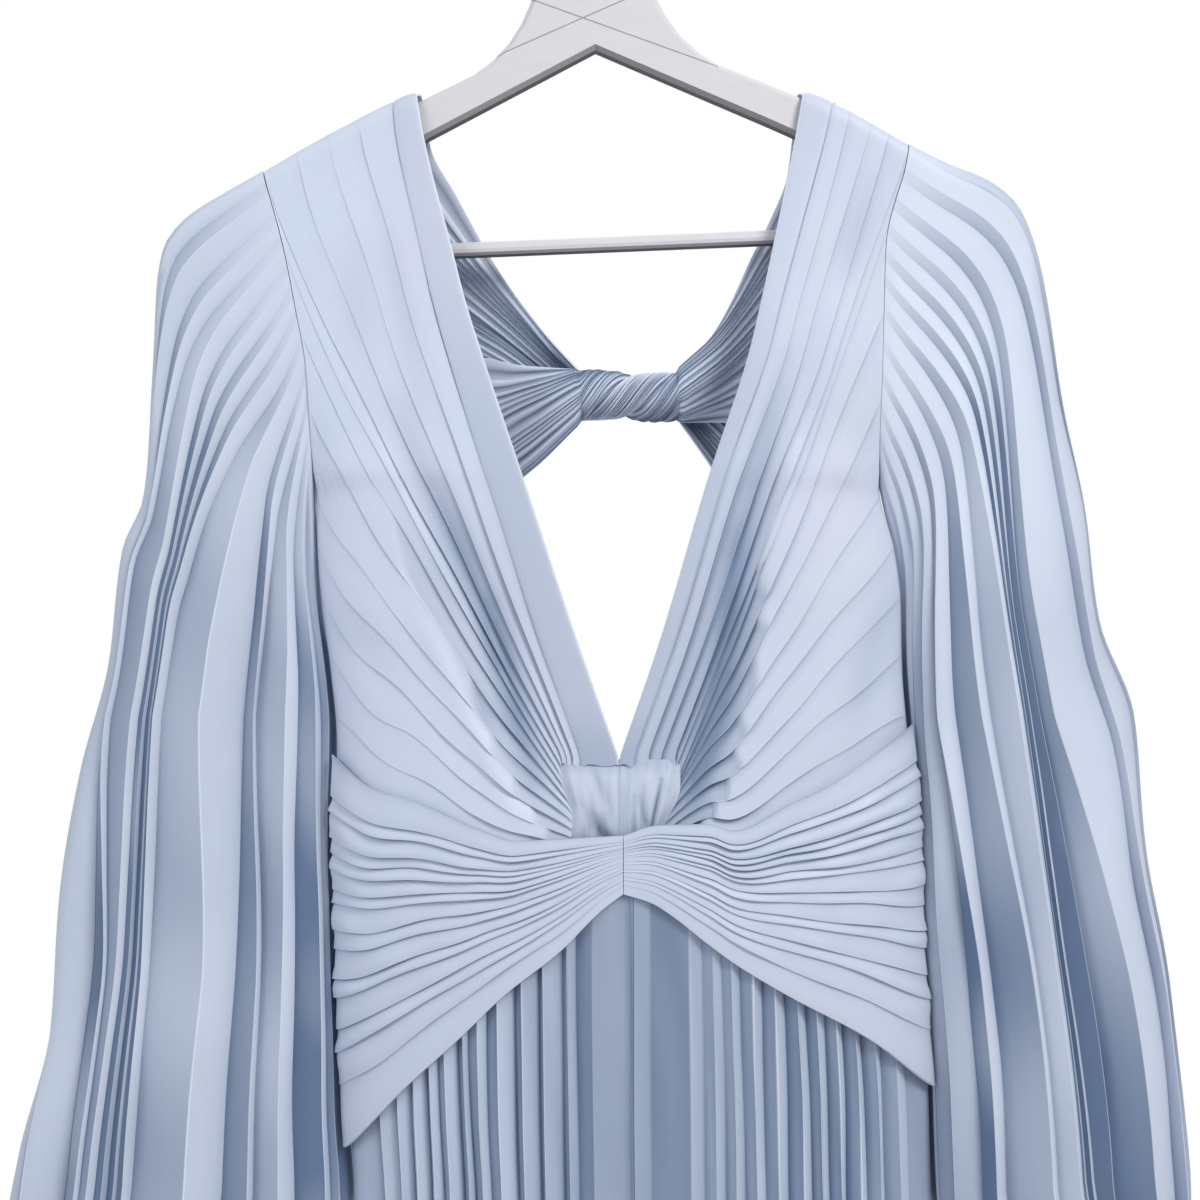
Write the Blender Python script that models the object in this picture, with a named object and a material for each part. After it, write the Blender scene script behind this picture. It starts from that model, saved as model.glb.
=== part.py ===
"""Pleated satin midi dress, hung on a flat wooden hanger.

Sizes are in millimetres and become metres when a mesh is made. +X is the viewer's right, +Y points away
from the viewer, +Z is up, and the origin is the inside top of the hanger's hook. Every cloth piece is a thin
closed wall whose outer face follows the hanging dress, with pleats pressed into it, and seams leave a
hairline gap.
"""

import math

import bpy
from mathutils import Matrix, Vector

MM = 0.001

# Cloth
WALL = 1.6
SEAM = 0.3
SASH_LIFT = 0.5

# Levels, measured down from the hook
WAIST_Z = -583.0
UNDERARM_Z = -372.0
SHELF_Z = -526.0
HEM_Z = -1348.0
CUFF_TOP_Z = -838.0
CUFF_HEIGHT = 32.0
CUFF_HALF_WIDTH = 47.5
CUFF_HALF_DEPTH = 11.0
CENTRE_X = 18.0
SKIRT_SEAM_X = 26.0
SEAM_PANEL = 27.0

# Hanger
HANGER_TILT = 2.33
HANGER_THICKNESS = 13.0
BAR_RADIUS = 4.5
BAR_DROP = 231.0
BAR_END = 196.0
HOOK_WIRE = 1.9
HOOK_RADIUS = 20.0
NECK_TOP = -66.0

# Pleats
WRAP_PLEATS = 8
SKIRT_PLEATS_LEFT = 13
SKIRT_PLEATS_RIGHT = 11
SKIRT_PLEATS_BACK = 26

# Side outline of the dress: level, left edge, right edge
SIDES = [
    (-189, -185, 181),
    (-232, -173, 170),
    (-271, -165, 168.5),
    (-304, -159, 167.5),
    (-340, -157, 166.5),
    (-372, -156, 168),
    (-405, -155, 176),
    (-435, -153, 180.5),
    (-475, -147.5, 181.5),
    (-515, -144, 184.5),
    (-583, -143.5, 189.5),
    (-628, -141.5, 190.5),
    (-675, -140, 193.5),
    (-720, -138, 196.5),
    (-780, -134, 198),
    (-870, -146, 209),
    (-1348, -208, 272),
]

# Fullness of the hanging dress: level, front depth, back depth, half gap at the armhole edge
FULLNESS = [
    (-145, 11.2, 11.2, 10.8),
    (-190, 13, 13, 10.8),
    (-235, 19, 18, 12),
    (-300, 27, 25, 14.5),
    (-330, 30, 28, 13.5),
    (-350, 32, 30, 10.5),
    (-365, 33.5, 32, 5.5),
    (-372, 34, 33, 0.15),
    (-440, 39, 36, 0.15),
    (-521, 44, 40, 0.15),
    (-583, 46, 43, 0.15),
    (-780, 51, 49, 0.15),
    (-1348, 80, 80, 0.15),
]

# Shoulder seam over the hanger's arms: across, level
SHOULDERS = [
    (-185, -188.5),
    (-161, -175.2),
    (-137, -162.3),
    (-114, -150.5),
    (-97, -144.2),
    (123, -143.4),
    (143, -150.2),
    (162, -160.3),
    (184, -173.0),
]

# Neck opening and its bands: level, left edge, left band width, right edge, right band width
NECK = [
    (-143, -97.5, 14, 123.5, 18.5),
    (-172, -92.6, 16, 118.6, 17),
    (-234, -76.7, 18, 105.7, 13),
    (-266, -68.4, 19, 98.5, 11.5),
    (-297, -58.6, 20, 91, 11),
    (-368, -34.8, 21, 67.5, 9),
    (-457, -5.2, 21, 40.7, 8),
    (-521, 17.5, 21, 18.5, 7.5),
    (-526, 17.85, 21.4, 18.15, 7.8),
]

# Sash edges, from the centre seam outwards: across, level
SASH_TOP_LEFT = [
    (20.2, -564.5), (-16.6, -566.4), (-38, -567.5), (-60, -561.1),
    (-94, -547), (-118, -541), (-141.5, -523),
]
SASH_LOW_LEFT = [
    (20.2, -596.5), (8.6, -605.2), (-14, -627.7), (-45, -652.6),
    (-67.5, -675), (-102, -708.6), (-134.5, -747),
]
SASH_TOP_RIGHT = [
    (20.5, -564.5), (40, -558.7), (66.6, -558.2), (80.3, -562), (112, -548), (136, -537), (182.2, -506),
]
SASH_LOW_RIGHT = [(20.5, -596.5), (44, -605.3), (66.6, -625.5), (111.6, -652.6), (157, -680), (193.8, -712)]

# Widths of the sash's pleats at the side seam, from the top one down
SASH_PLEATS = [14, 15, 13, 12, 13, 12, 14, 12, 13, 12, 14, 13, 16, 18, 34]

# Outer edge of each sleeve, from the shoulder point to the cuff: across, level
SLEEVE_OUT_LEFT = [
    (-185, -188.5), (-206, -200.3), (-224, -211.4), (-235, -221.8), (-242, -233.8), (-246, -256),
    (-249, -310), (-254.5, -375), (-266, -405), (-274, -470), (-290, -534), (-303, -605),
    (-308, -680), (-326, -755), (-333, -795), (-326, -818), (-304, -834), (-280.5, -838),
]
SLEEVE_OUT_RIGHT = [
    (184, -173), (209, -185.5), (226, -192.2), (238, -199.3), (248, -209.7), (257, -232),
    (265, -268), (274, -325), (287, -388), (295, -448), (314, -502), (322, -584),
    (334, -653), (342, -726), (346, -790), (339, -817), (322, -833), (320.5, -838),
]

# Inner edge of each sleeve below the skirt's fullest overlap, down to the cuff: across, level
SLEEVE_IN_END_LEFT = [(-139, -795), (-152, -818), (-172, -833), (-185.5, -838)]
SLEEVE_IN_END_RIGHT = [(204, -795), (212, -818), (221, -833), (225.5, -838)]

# Sleeve fullness and pleat depth: share of the way down, half depth, pleat depth
SLEEVE_SHAPE = [
    (0.0, 14, 0.0),
    (0.05, 14.5, 0.9),
    (0.15, 18, 1.8),
    (0.3, 24, 3.2),
    (0.5, 29, 4.6),
    (0.7, 34, 6.0),
    (0.88, 38, 6.5),
    (0.94, 33, 4.6),
    (1.0, 11, 0.8),
]
SLEEVE_SQUARENESS = 3.6
SLEEVE_ROWS = [0, 0.03, 0.08, 0.16, 0.28, 0.42, 0.57, 0.72, 0.85, 0.94, 1]

# Widths of the sleeve's front folds, from the outer fold inwards
SLEEVE_FOLDS_LEFT = [20, 22, 16, 8, 8, 18, 14, 12, 12, 10, 12, 12]
SLEEVE_FOLDS_RIGHT = [18, 14, 8, 8, 18, 16, 12, 16, 12, 12, 14, 12]

# Keyhole edges at the back, from the twist to the waist seam: across, level
KEYHOLE_LEFT = [(-4, -330), (-14, -340), (-26, -352), (-44, -368), (-78, -420), (-92, -490), (-68, -583)]
KEYHOLE_RIGHT = [(54, -330), (62, -341), (72, -355), (88, -380), (112, -430), (124, -500), (116, -583)]

# The twist at the back
TWIST_LEFT_X = -4.0
TWIST_RIGHT_X = 54.0
TWIST_Z = -315.0
TWIST_Y = 25.0
TWIST_RADIUS = 15.0
TWIST_SPREAD = 0.45 * math.pi
LAYER_LIFT = 3.4


def smooth_through(knots):
    """Return a function that runs smoothly, without overshoot, through (position, value) knots."""
    knots = sorted(knots)
    count = len(knots)
    steps = [(knots[i + 1][1] - knots[i][1]) / (knots[i + 1][0] - knots[i][0]) for i in range(count - 1)]
    slopes = [steps[0]]
    for before, after in zip(steps, steps[1:]):
        slopes.append(0.0 if before * after <= 0 else 2 * before * after / (before + after))
    slopes.append(steps[-1])

    def value(position):
        if position <= knots[0][0]:
            return knots[0][1]
        if position >= knots[-1][0]:
            return knots[-1][1]
        i = next(k for k in range(count - 1) if position <= knots[k + 1][0])
        span = knots[i + 1][0] - knots[i][0]
        u = (position - knots[i][0]) / span
        start = (1 + 2 * u) * (1 - u) ** 2 * knots[i][1] + u * (1 - u) ** 2 * span * slopes[i]
        end = u * u * (3 - 2 * u) * knots[i + 1][1] - u * u * (1 - u) * span * slopes[i + 1]
        return start + end

    return value


def column(table, index):
    """Return one column of a table as a smooth function of its first column."""
    return smooth_through([(row[0], row[index]) for row in table])


def path_through(points):
    """Return a smooth curve through flat points, with 0 at its start and 1 at its end, even by length."""
    lengths = [0.0]
    for a, b in zip(points, points[1:]):
        lengths.append(lengths[-1] + math.dist(a, b))
    across = smooth_through([(d / lengths[-1], p[0]) for d, p in zip(lengths, points)])
    level = smooth_through([(d / lengths[-1], p[1]) for d, p in zip(lengths, points)])
    return lambda u: Vector((across(u), level(u)))


def ease(low, high, value):
    """Rise softly from 0 at low to 1 at high."""
    u = min(1.0, max(0.0, (value - low) / (high - low)))
    return u * u * (3 - 2 * u)


def shares(widths):
    """Turn a list of widths into running shares of their sum, from 0 to 1."""
    total = float(sum(widths))
    out = [0.0]
    for width in widths:
        out.append(out[-1] + width / total)
    return out


left_side = column(SIDES, 1)
right_side = column(SIDES, 2)
front_fullness = column(FULLNESS, 1)
back_fullness = column(FULLNESS, 2)
edge_gap = column(FULLNESS, 3)
shoulder_level = smooth_through(SHOULDERS)
neck_left = column(NECK, 1)
band_left = column(NECK, 2)
neck_right = column(NECK, 3)
band_right = column(NECK, 4)
sleeve_depth = column(SLEEVE_SHAPE, 1)
sleeve_pleat_depth = column(SLEEVE_SHAPE, 2)

SHOULDER_ROLL = 9.0
ROLL_DROPS = (2.5, 8.5)
CROWN = 2.4


def body_depth(x, z, fullness):
    """Distance of the body's face from the seams' plane, rounded at the sides and over the shoulders."""
    half = (right_side(z) - left_side(z)) / 2
    middle = (right_side(z) + left_side(z)) / 2
    across = min(1.0, abs(x - middle) / half)
    sharp = 1 - 0.5 * ease(-330, UNDERARM_Z, z)
    crown = (1 - across ** CROWN) ** sharp
    drop = min(1.0, max(0.0, (shoulder_level(x) - z) / SHOULDER_ROLL))
    roll = math.sqrt(1 - (1 - drop) ** 2)
    edge = edge_gap(z)
    return SEAM / 2 + (edge - SEAM / 2 + (fullness(z) - edge) * crown) * roll


def body_point(x, z, side, out=0.0):
    """Point on the body's outer face, or moved out from it. side is -1 for the front and 1 for the back."""
    fullness = front_fullness if side < 0 else back_fullness
    y = side * body_depth(x, z, fullness)
    if out == 0.0:
        return Vector((x, y, z))
    return Vector((x, y, z)) + body_normal(x, z, side) * out


def body_normal(x, z, side):
    """Outward direction of the body's outer face."""
    fullness = front_fullness if side < 0 else back_fullness
    step = 0.15
    slope_x = (body_depth(x + step, z, fullness) - body_depth(x - step, z, fullness)) / (2 * step)
    slope_z = (body_depth(x, z + step, fullness) - body_depth(x, z - step, fullness)) / (2 * step)
    return Vector((-slope_x, side, -slope_z)).normalized()


def coons(start, end, low, high):
    """Blend four flat curves into a patch: low and high run from start to end, at s = 0 and s = 1."""
    corners = (start(0.0), start(1.0), end(0.0), end(1.0))

    def point(s, t):
        along = low(t) * (1 - s) + high(t) * s
        across = start(s) * (1 - t) + end(s) * t
        near_start = corners[0] * (1 - s) + corners[1] * s
        near_end = corners[2] * (1 - s) + corners[3] * s
        return along + across - near_start * (1 - t) - near_end * t

    return point


def make_material(name, colour, roughness, metallic=0.0):
    """Make a plain Principled material."""
    material = bpy.data.materials.new(name)
    material.use_nodes = True
    shader = material.node_tree.nodes["Principled BSDF"]
    shader.inputs["Base Color"].default_value = (*colour, 1.0)
    shader.inputs["Roughness"].default_value = roughness
    shader.inputs["Metallic"].default_value = metallic
    return material


# Tint of each kind of satin piece, by the first word of its name
SATIN_TINTS = {
    "front": (0.55, 0.64, 0.78),
    "neck": (0.62, 0.66, 0.80),
    "insert": (0.60, 0.66, 0.78),
    "sash": (0.56, 0.66, 0.80),
    "skirt": (0.42, 0.52, 0.66),
    "sleeve": (0.50, 0.60, 0.75),
    "cuff": (0.52, 0.62, 0.77),
    "back": (0.40, 0.50, 0.66),
}


def satin(name):
    """Make the satin of one piece."""
    return make_material(name, SATIN_TINTS[name.split("_")[0]], 0.35)


def make_object(name, points, faces, material):
    """Make an object from points in millimetres, with its faces turned outwards."""
    mesh = bpy.data.meshes.new(name)
    mesh.from_pydata([tuple(p * MM) for p in points], [], faces)
    volume = 0.0
    for face in faces:
        a = points[face[0]]
        for i in range(1, len(face) - 1):
            volume += a.dot(points[face[i]].cross(points[face[i + 1]]))
    if volume < 0:
        mesh.flip_normals()
    mesh.materials.append(material)
    mesh.shade_smooth()
    mesh.set_sharp_from_angle(angle=math.radians(30))
    thing = bpy.data.objects.new(name, mesh)
    bpy.context.scene.collection.objects.link(thing)
    return thing


def make_wall(name, outer, inner, material, closed=False):
    """Join two grids of points, outer and inner, into one closed wall. A closed grid runs round a tube."""
    rows = len(outer)
    columns = len(outer[0])
    points = [p for row in outer for p in row] + [p for row in inner for p in row]
    offset = rows * columns
    faces = []
    spans = columns if closed else columns - 1
    for r in range(rows - 1):
        for c in range(spans):
            a = r * columns + c
            b = r * columns + (c + 1) % columns
            faces.append((a, b, b + columns, a + columns))
            faces.append((a + offset, a + columns + offset, b + columns + offset, b + offset))
    for r, turned in ((0, True), (rows - 1, False)):
        for c in range(spans):
            a = r * columns + c
            b = r * columns + (c + 1) % columns
            faces.append((a, a + offset, b + offset, b) if turned else (a, b, b + offset, a + offset))
    if not closed:
        for c, turned in ((0, False), (columns - 1, True)):
            for r in range(rows - 1):
                a = r * columns + c
                b = a + columns
                faces.append((a, a + offset, b + offset, b) if turned else (a, b, b + offset, a + offset))
    return make_object(name, points, faces, material)


def keep_side(point, side):
    """Keep a point on its own side of the plane where front and back are sewn together."""
    return Vector((point[0], side * max(SEAM / 2, side * point[1]), point[2]))


def make_body_wall(name, flat_point, columns, rows, side, relief, material, lift=0.0):
    """Make a cloth piece that follows the body.

    flat_point(s, t) gives the place across and down, and relief(s_index, t) the height of its pleats.
    """
    outer = []
    inner = []
    for t in rows:
        outer_row = []
        inner_row = []
        for index, s in enumerate(columns):
            x, z = flat_point(s, t)
            normal = body_normal(x, z, side)
            face = body_point(x, z, side) + normal * (lift + relief(index, s, t))
            outer_row.append(keep_side(face, side))
            inner_row.append(keep_side(face - normal * WALL, side))
        outer.append(outer_row)
        inner.append(inner_row)
    return make_wall(name, outer, inner, material)


def pleat_columns(stops, fold_at):
    """Give two columns for each pleat, its edge and its fold, and a last edge."""
    out = []
    for a, b in zip(stops, stops[1:]):
        out += [a, a + (b - a) * fold_at]
    return out + [stops[-1]]


def even_rows(count):
    """Return shares from 0 to 1 in even steps."""
    return [i / count for i in range(count + 1)]


# Rows of a piece that hangs from a seam, close together where it rolls over the seam
HANGING_ROWS = [0, 0.006, 0.016, 0.035, 0.1, 0.22, 0.36, 0.5, 0.64, 0.77, 0.89, 1]


# Front panels

SHOULDER_SHARE = 0.29
ARMHOLE_SHARE = 0.57
FRONT_FOOT_Z = -531.0
TUCK_SHARE = 0.22
TUCK_Z = -546.0
GATHER_Z = -575.0


def front_start(left):
    """Outer boundary of a front panel: along the shoulder, down the armhole and down the side."""
    sign = -1 if left else 1
    side = left_side if left else right_side
    inner_x = neck_left(-150) - band_left(-150) if left else neck_right(-150) + band_right(-150)
    tip_x = SHOULDERS[0][0] if left else SHOULDERS[-1][0]
    tip_z = shoulder_level(tip_x)

    def point(s):
        if s <= SHOULDER_SHARE:
            x = inner_x + sign * SEAM + (tip_x - inner_x - sign * SEAM) * s / SHOULDER_SHARE
            return Vector((x, shoulder_level(x)))
        if s <= ARMHOLE_SHARE:
            u = (s - SHOULDER_SHARE) / (ARMHOLE_SHARE - SHOULDER_SHARE)
            z = tip_z + (UNDERARM_Z - tip_z) * u
        else:
            u = (s - ARMHOLE_SHARE) / (1 - ARMHOLE_SHARE)
            z = UNDERARM_Z + (FRONT_FOOT_Z - UNDERARM_Z) * u
        return Vector((armhole_edge(z, left), z))

    return point


def armhole_edge(z, left):
    """Outer edge of the body at a level, running out to the shoulder point at the top."""
    side = left_side if left else right_side
    tip_x, tip_z = SHOULDERS[0] if left else SHOULDERS[-1]
    top_z = SIDES[0][0]
    if z > top_z:
        below = side(top_z)
        return below + (tip_x - below) * (z - top_z) / (tip_z - top_z) if tip_z > top_z else tip_x
    return side(z)


def band_edge(z, left):
    """Line where a neck band meets its front panel."""
    return neck_left(z) - band_left(z) if left else neck_right(z) + band_right(z)


def front_edge(left):
    """Boundary of a front panel along its neck band, from the shoulder to the shelf."""
    sign = -1 if left else 1
    top = front_start(left)(0.0)[1]

    def point(t):
        z = top + (SHELF_Z - SEAM - top) * t
        return Vector((band_edge(z, left) + sign * SEAM, z))

    return point


def insert_edge(z, left):
    """Line where the centre insert meets a front panel."""
    shelf_x = -12.3 if left else 48.2
    low_x = -9.5 if left else 46.0
    return shelf_x + (low_x - shelf_x) * ease(SHELF_Z, GATHER_Z, z)


def front_end(left):
    """Inner boundary of a front panel: along the shelf, then down the insert where the pleats gather."""
    start_x = band_edge(SHELF_Z, left)
    sign = -1 if left else 1

    def point(s):
        if s <= TUCK_SHARE:
            u = s / TUCK_SHARE
            x = start_x + sign * SEAM + (insert_edge(SHELF_Z, left) - start_x) * u
            return Vector((x, SHELF_Z - SEAM - 0.3 * u))
        u = (s - TUCK_SHARE) / (1 - TUCK_SHARE)
        tucked = (TUCK_Z - SHELF_Z) * min(1.0, u * 4)
        gathered = (GATHER_Z - TUCK_Z) * max(0.0, (u * 4 - 1) / 3)
        z = SHELF_Z - 2 * SEAM + tucked + gathered
        return Vector((insert_edge(z, left) + sign * SEAM, z))

    return point


def front_foot(left):
    """Lowest pleat of a front panel, which runs just under the sash's top edge."""
    points = list(reversed(SASH_TOP_LEFT[1:-1] if left else SASH_TOP_RIGHT[1:-1]))
    start = front_start(left)(1.0)
    end = front_end(left)(1.0)
    lowered = [(x, z - 8) for x, z in points if abs(x - CENTRE_X) > abs(end[0] - CENTRE_X) + 4]
    return path_through([tuple(start)] + lowered + [tuple(end)])


def front_panel(name, left, material):
    """Front panel: pleats run from the shoulder, armhole and side to the gathers beside the insert."""
    patch = coons(front_start(left), front_end(left), front_edge(left), front_foot(left))
    pleated = pleat_columns(front_stops(), 0.72)
    columns, valleys = with_roll(pleated + [2.0], SHOULDER_SHARE, ARMHOLE_SHARE, 1)

    def flat_point(s, t):
        if s <= 1.0:
            return patch(s, t)
        foot = patch(1.0, t)
        return Vector((foot[0], foot[1] + (WAIST_Z + SEAM / 2 - foot[1]) * (s - 1.0)))

    def relief(index, s, t):
        if index not in valleys:
            return 0.0
        return -1.5 * ease(0.0, 0.12, t) * (1 - 0.65 * ease(0.72, 1.0, t))

    return make_body_wall(name, flat_point, columns, HANGING_ROWS, -1, relief, material)


def with_roll(columns, tip_share, foot_share, plain_at_end):
    """Add columns close below the shoulder point, and tell which columns are the pleats' folds."""
    drop = UNDERARM_Z - SHOULDERS[0][1]
    extra = [tip_share + (foot_share - tip_share) * fall / -drop for fall in ROLL_DROPS]
    folds = {columns[i] for i in range(1, len(columns) - plain_at_end, 2)}
    merged = sorted(columns + extra)
    return merged, {i for i, share in enumerate(merged) if share in folds}


def front_stops():
    """Edges of a front panel's pleats, as shares of its outer boundary, with stops at its corners."""
    shoulder = [SHOULDER_SHARE * i / 4 for i in range(4)]
    armhole = [SHOULDER_SHARE + (ARMHOLE_SHARE - SHOULDER_SHARE) * i / 4 for i in range(4)]
    side = [ARMHOLE_SHARE + (1 - ARMHOLE_SHARE) * i / 5 for i in range(6)]
    return shoulder + armhole + side


def neck_band(name, left, material):
    """Plain band along one edge of the neck, from the shoulder seam to the shelf."""

    neck = neck_left if left else neck_right

    def flat_point(s, t):
        top = shoulder_level(neck(-146) + (band_edge(-148, left) - neck(-146)) * s)
        z = top + (SHELF_Z - SEAM - top) * t
        return Vector((neck(z) + (band_edge(z, left) - neck(z)) * s, z))

    return make_body_wall(name, flat_point, [0, 0.5, 1], HANGING_ROWS, -1, lambda i, s, t: 0.0, material)


def insert_half(name, left, material):
    """Half of the small gathered insert under the neck, down to the waist seam behind the sash."""
    centre = CENTRE_X - SEAM / 2 if left else CENTRE_X + SEAM / 2

    def flat_point(s, t):
        z = SHELF_Z - 2.5 * SEAM + (WAIST_Z - SHELF_Z + 3 * SEAM) * t
        return Vector((centre + (insert_edge(z, left) - centre) * s, z))

    def relief(index, s, t):
        return -0.9 * math.sin(math.pi * t) if index % 2 else 0.0

    return make_body_wall(name, flat_point, even_rows(6), even_rows(4), -1, relief, material)


# Sash

def sash_half(name, left, material):
    """Half of the sash: pleats fan out from the centre seam and lie on the front panel and the skirt."""
    top = path_through(SASH_TOP_LEFT if left else SASH_TOP_RIGHT)
    low = path_through(SASH_LOW_LEFT if left else SASH_LOW_RIGHT)
    patch = coons(lambda s: top(0) * (1 - s) + low(0) * s, lambda s: sash_side(s, top, low, left), top, low)
    columns = pleat_columns(shares(SASH_PLEATS), 0.7)

    def relief(index, s, t):
        over_side = 1.5 * ease(0.3, 1.0, t)
        if index % 2 == 0:
            return over_side
        return over_side + (0.5 + 1.3 * ease(0.0, 0.3, t)) * (1 - 0.5 * ease(0.9, 1.0, t))

    rows = [0, 0.12, 0.27, 0.43, 0.59, 0.75, 0.88, 0.96, 1]
    return make_body_wall(name, patch, columns, rows, -1, relief, material, lift=SASH_LIFT + WALL)


def sash_side(s, top, low, left):
    """End of the sash, just inside the side seam."""
    z = top(1)[1] + (low(1)[1] - top(1)[1]) * s
    inset = 5.0
    return Vector((left_side(z) + inset if left else right_side(z) - inset, z))


# Skirt

def skirt_depth(z):
    """Depth of the skirt's pleats, pressed flat at the waist and opening towards the hem."""
    return 0.8 + 2.4 * ease(WAIST_Z, WAIST_Z - 60, z) + 2.8 * ease(-700, HEM_Z, z)


SKIRT_ROWS = [WAIST_Z, -628, -705, -820, -1060, HEM_Z]


def skirt_panel(name, stops, start_x, end_x, side, material):
    """Skirt panel of knife pleats between two edge functions of the level."""
    columns = pleat_columns(stops, 0.36)
    top = WAIST_Z - SEAM / 2

    def flat_point(s, t):
        z = SKIRT_ROWS[t] if t else top
        return Vector((start_x(z) + (end_x(z) - start_x(z)) * s, z))

    def relief(index, s, t):
        return -skirt_depth(SKIRT_ROWS[t]) if index % 2 else 0.0

    return make_body_wall(name, flat_point, columns, range(len(SKIRT_ROWS)), side, relief, material)


def seam_panel_stops(count):
    """Pleat edges of the right skirt panel, which starts with a plain strip beside the centre seam."""
    strip = SEAM_PANEL / (right_side(-700) - SKIRT_SEAM_X)
    return [0, strip] + [strip + (1 - strip) * (i + 1) / count for i in range(count)]


def centre_line(z):
    """Centre front seam of the skirt, drifting towards the middle of the hem."""
    middle = (left_side(z) + right_side(z)) / 2
    return SKIRT_SEAM_X + (middle - SKIRT_SEAM_X) * ease(-650, HEM_Z, z)


def left_of_centre(z):
    """Left edge of the centre front seam's gap."""
    return centre_line(z) - SEAM / 2


def right_of_centre(z):
    """Right edge of the centre front seam's gap."""
    return centre_line(z) + SEAM / 2


# Sleeves

def sleeve(name, left, material):
    """Full pleated sleeve: each pleat starts at the armhole seam and hangs to the cuff."""
    sign = -1 if left else 1
    out_path = path_through(SLEEVE_OUT_LEFT if left else SLEEVE_OUT_RIGHT)
    in_path = path_through(sleeve_inner_points(left))
    cuff_x = cuff_centre(left)

    def cap(s):
        tip = out_path(0)
        z = tip[1] + (UNDERARM_Z - tip[1]) * s
        return Vector((armhole_edge(z, left) + sign * 2 * SEAM, z))

    def wrist(s):
        return Vector((cuff_x + sign * CUFF_HALF_WIDTH * math.cos(math.pi * s), CUFF_TOP_Z))

    patch = coons(cap, wrist, lambda v: out_path(v) + Vector((sign * 2 * SEAM * (1 - v), 0)), in_path)

    def base(w, v):
        s = 2 * w if w <= 0.5 else 2 - 2 * w
        side = -1 if w <= 0.5 else 1
        across = 0.5 - 0.5 * math.cos(math.pi * s)
        share = s + (across - s) * ease(0.85, 1.0, v)
        x, z = patch(s, v)
        limit = armhole_edge(z, left) + sign * (2 * SEAM + 1.4 * ease(0, 0.06, v))
        if z > -790 and sign * x < sign * limit:
            x = limit
        seam_x, seam_z = cap(s)
        seam_y = body_depth(armhole_edge(seam_z, left), seam_z, front_fullness) if 0 < s < 1 else 0.0
        section = math.sin(math.pi * s)
        if v < 1:
            section = math.sqrt(max(0.0, 1 - abs(2 * share - 1) ** SLEEVE_SQUARENESS))
        hung = ease(0.0, 0.3, v)
        y = seam_y * (1 - hung) + sleeve_depth(v) * section * hung
        drop = min(1.0, max(0.0, (out_path(v)[1] - z) / SHOULDER_ROLL))
        over_arm = edge_gap(-150) * math.sqrt(1 - (1 - drop) ** 2) * (1 - ease(0.14, 0.3, v))
        y = side * (max(y, over_arm) if s < 0.5 else y)
        tucked = 8.0 * ease(0.75, 1.0, s) * ease(0.02, 0.15, v) * (1 - ease(0.9, 1.0, v))
        return Vector((x, y + tucked, z))

    def normal(w, v):
        step = 0.004
        around = base((w + step) % 1.0, v) - base((w - step) % 1.0, v)
        down = base(w, min(1.0, v + step)) - base(w, max(0.0, v - step))
        turned = around.cross(down)
        if v == 1:
            turned.z = 0
        return turned.normalized() * sign

    folds = shares(SLEEVE_FOLDS_LEFT if left else SLEEVE_FOLDS_RIGHT)
    cap_columns, valleys = with_roll(pleat_columns(folds, 0.6), 0.0, 1.0, 0)
    front = [share / 2 for share in cap_columns]
    columns = front + [1 - share for share in reversed(front[1:-1])]
    valleys |= {len(columns) - i for i in valleys}
    outer = []
    inner = []
    for v in SLEEVE_ROWS:
        outer_row = []
        inner_row = []
        for index, w in enumerate(columns):
            facing = normal(w, v)
            depth = sleeve_pleat_depth(v) * pleat_share(columns, index) if index in valleys else 0.0
            face = base(w, v) - facing * depth
            outer_row.append(face)
            inner_row.append(face - facing * WALL)
        outer.append(outer_row)
        inner.append(inner_row)
    return make_wall(name, outer, inner, material, closed=True)


def pleat_share(columns, index):
    """Make a wide pleat deep and a narrow one shallow."""
    following = columns[index + 1] if index + 1 < len(columns) else 1.0
    return min(1.0, (following - columns[index - 1]) * 22)


def sleeve_inner_points(left):
    """Inner edge of a sleeve: beside the body's side seam, then in to the cuff."""
    sign = -1 if left else 1
    beside = [(armhole_edge(z, left) + sign * 1.9, z) for z in range(int(UNDERARM_Z), -780, -45)]
    return beside + (SLEEVE_IN_END_LEFT if left else SLEEVE_IN_END_RIGHT)


def cuff_centre(left):
    """Middle of a cuff, under the end of its sleeve."""
    inner = (SLEEVE_IN_END_LEFT if left else SLEEVE_IN_END_RIGHT)[-1][0]
    outer = (SLEEVE_OUT_LEFT if left else SLEEVE_OUT_RIGHT)[-1][0]
    return (inner + outer) / 2


def cuff(name, left, material):
    """Plain narrow cuff below a sleeve."""
    middle = cuff_centre(left)
    sides = 20
    outer = []
    inner = []
    for z in (CUFF_TOP_Z - SEAM, CUFF_TOP_Z - CUFF_HEIGHT):
        outer_row = []
        inner_row = []
        for i in range(sides):
            angle = 2 * math.pi * i / sides
            across = math.cos(angle)
            deep = math.sin(angle)
            face = Vector((middle + CUFF_HALF_WIDTH * across, CUFF_HALF_DEPTH * deep, z))
            outer_row.append(face)
            inner_row.append(face - Vector((WALL * across, WALL * deep, 0)))
        outer.append(outer_row)
        inner.append(inner_row)
    return make_wall(name, outer, inner, material, closed=True)


# Back wraps

WRAP_ROWS_START = [0, 0.01, 0.034, 0.14, 0.32, 0.52, 0.72, 0.88]
TWIST_ROWS = 10
WRAP_ROWS_END = [0.12, 0.28, 0.5, 0.76, 0.95, 1.0]


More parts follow.
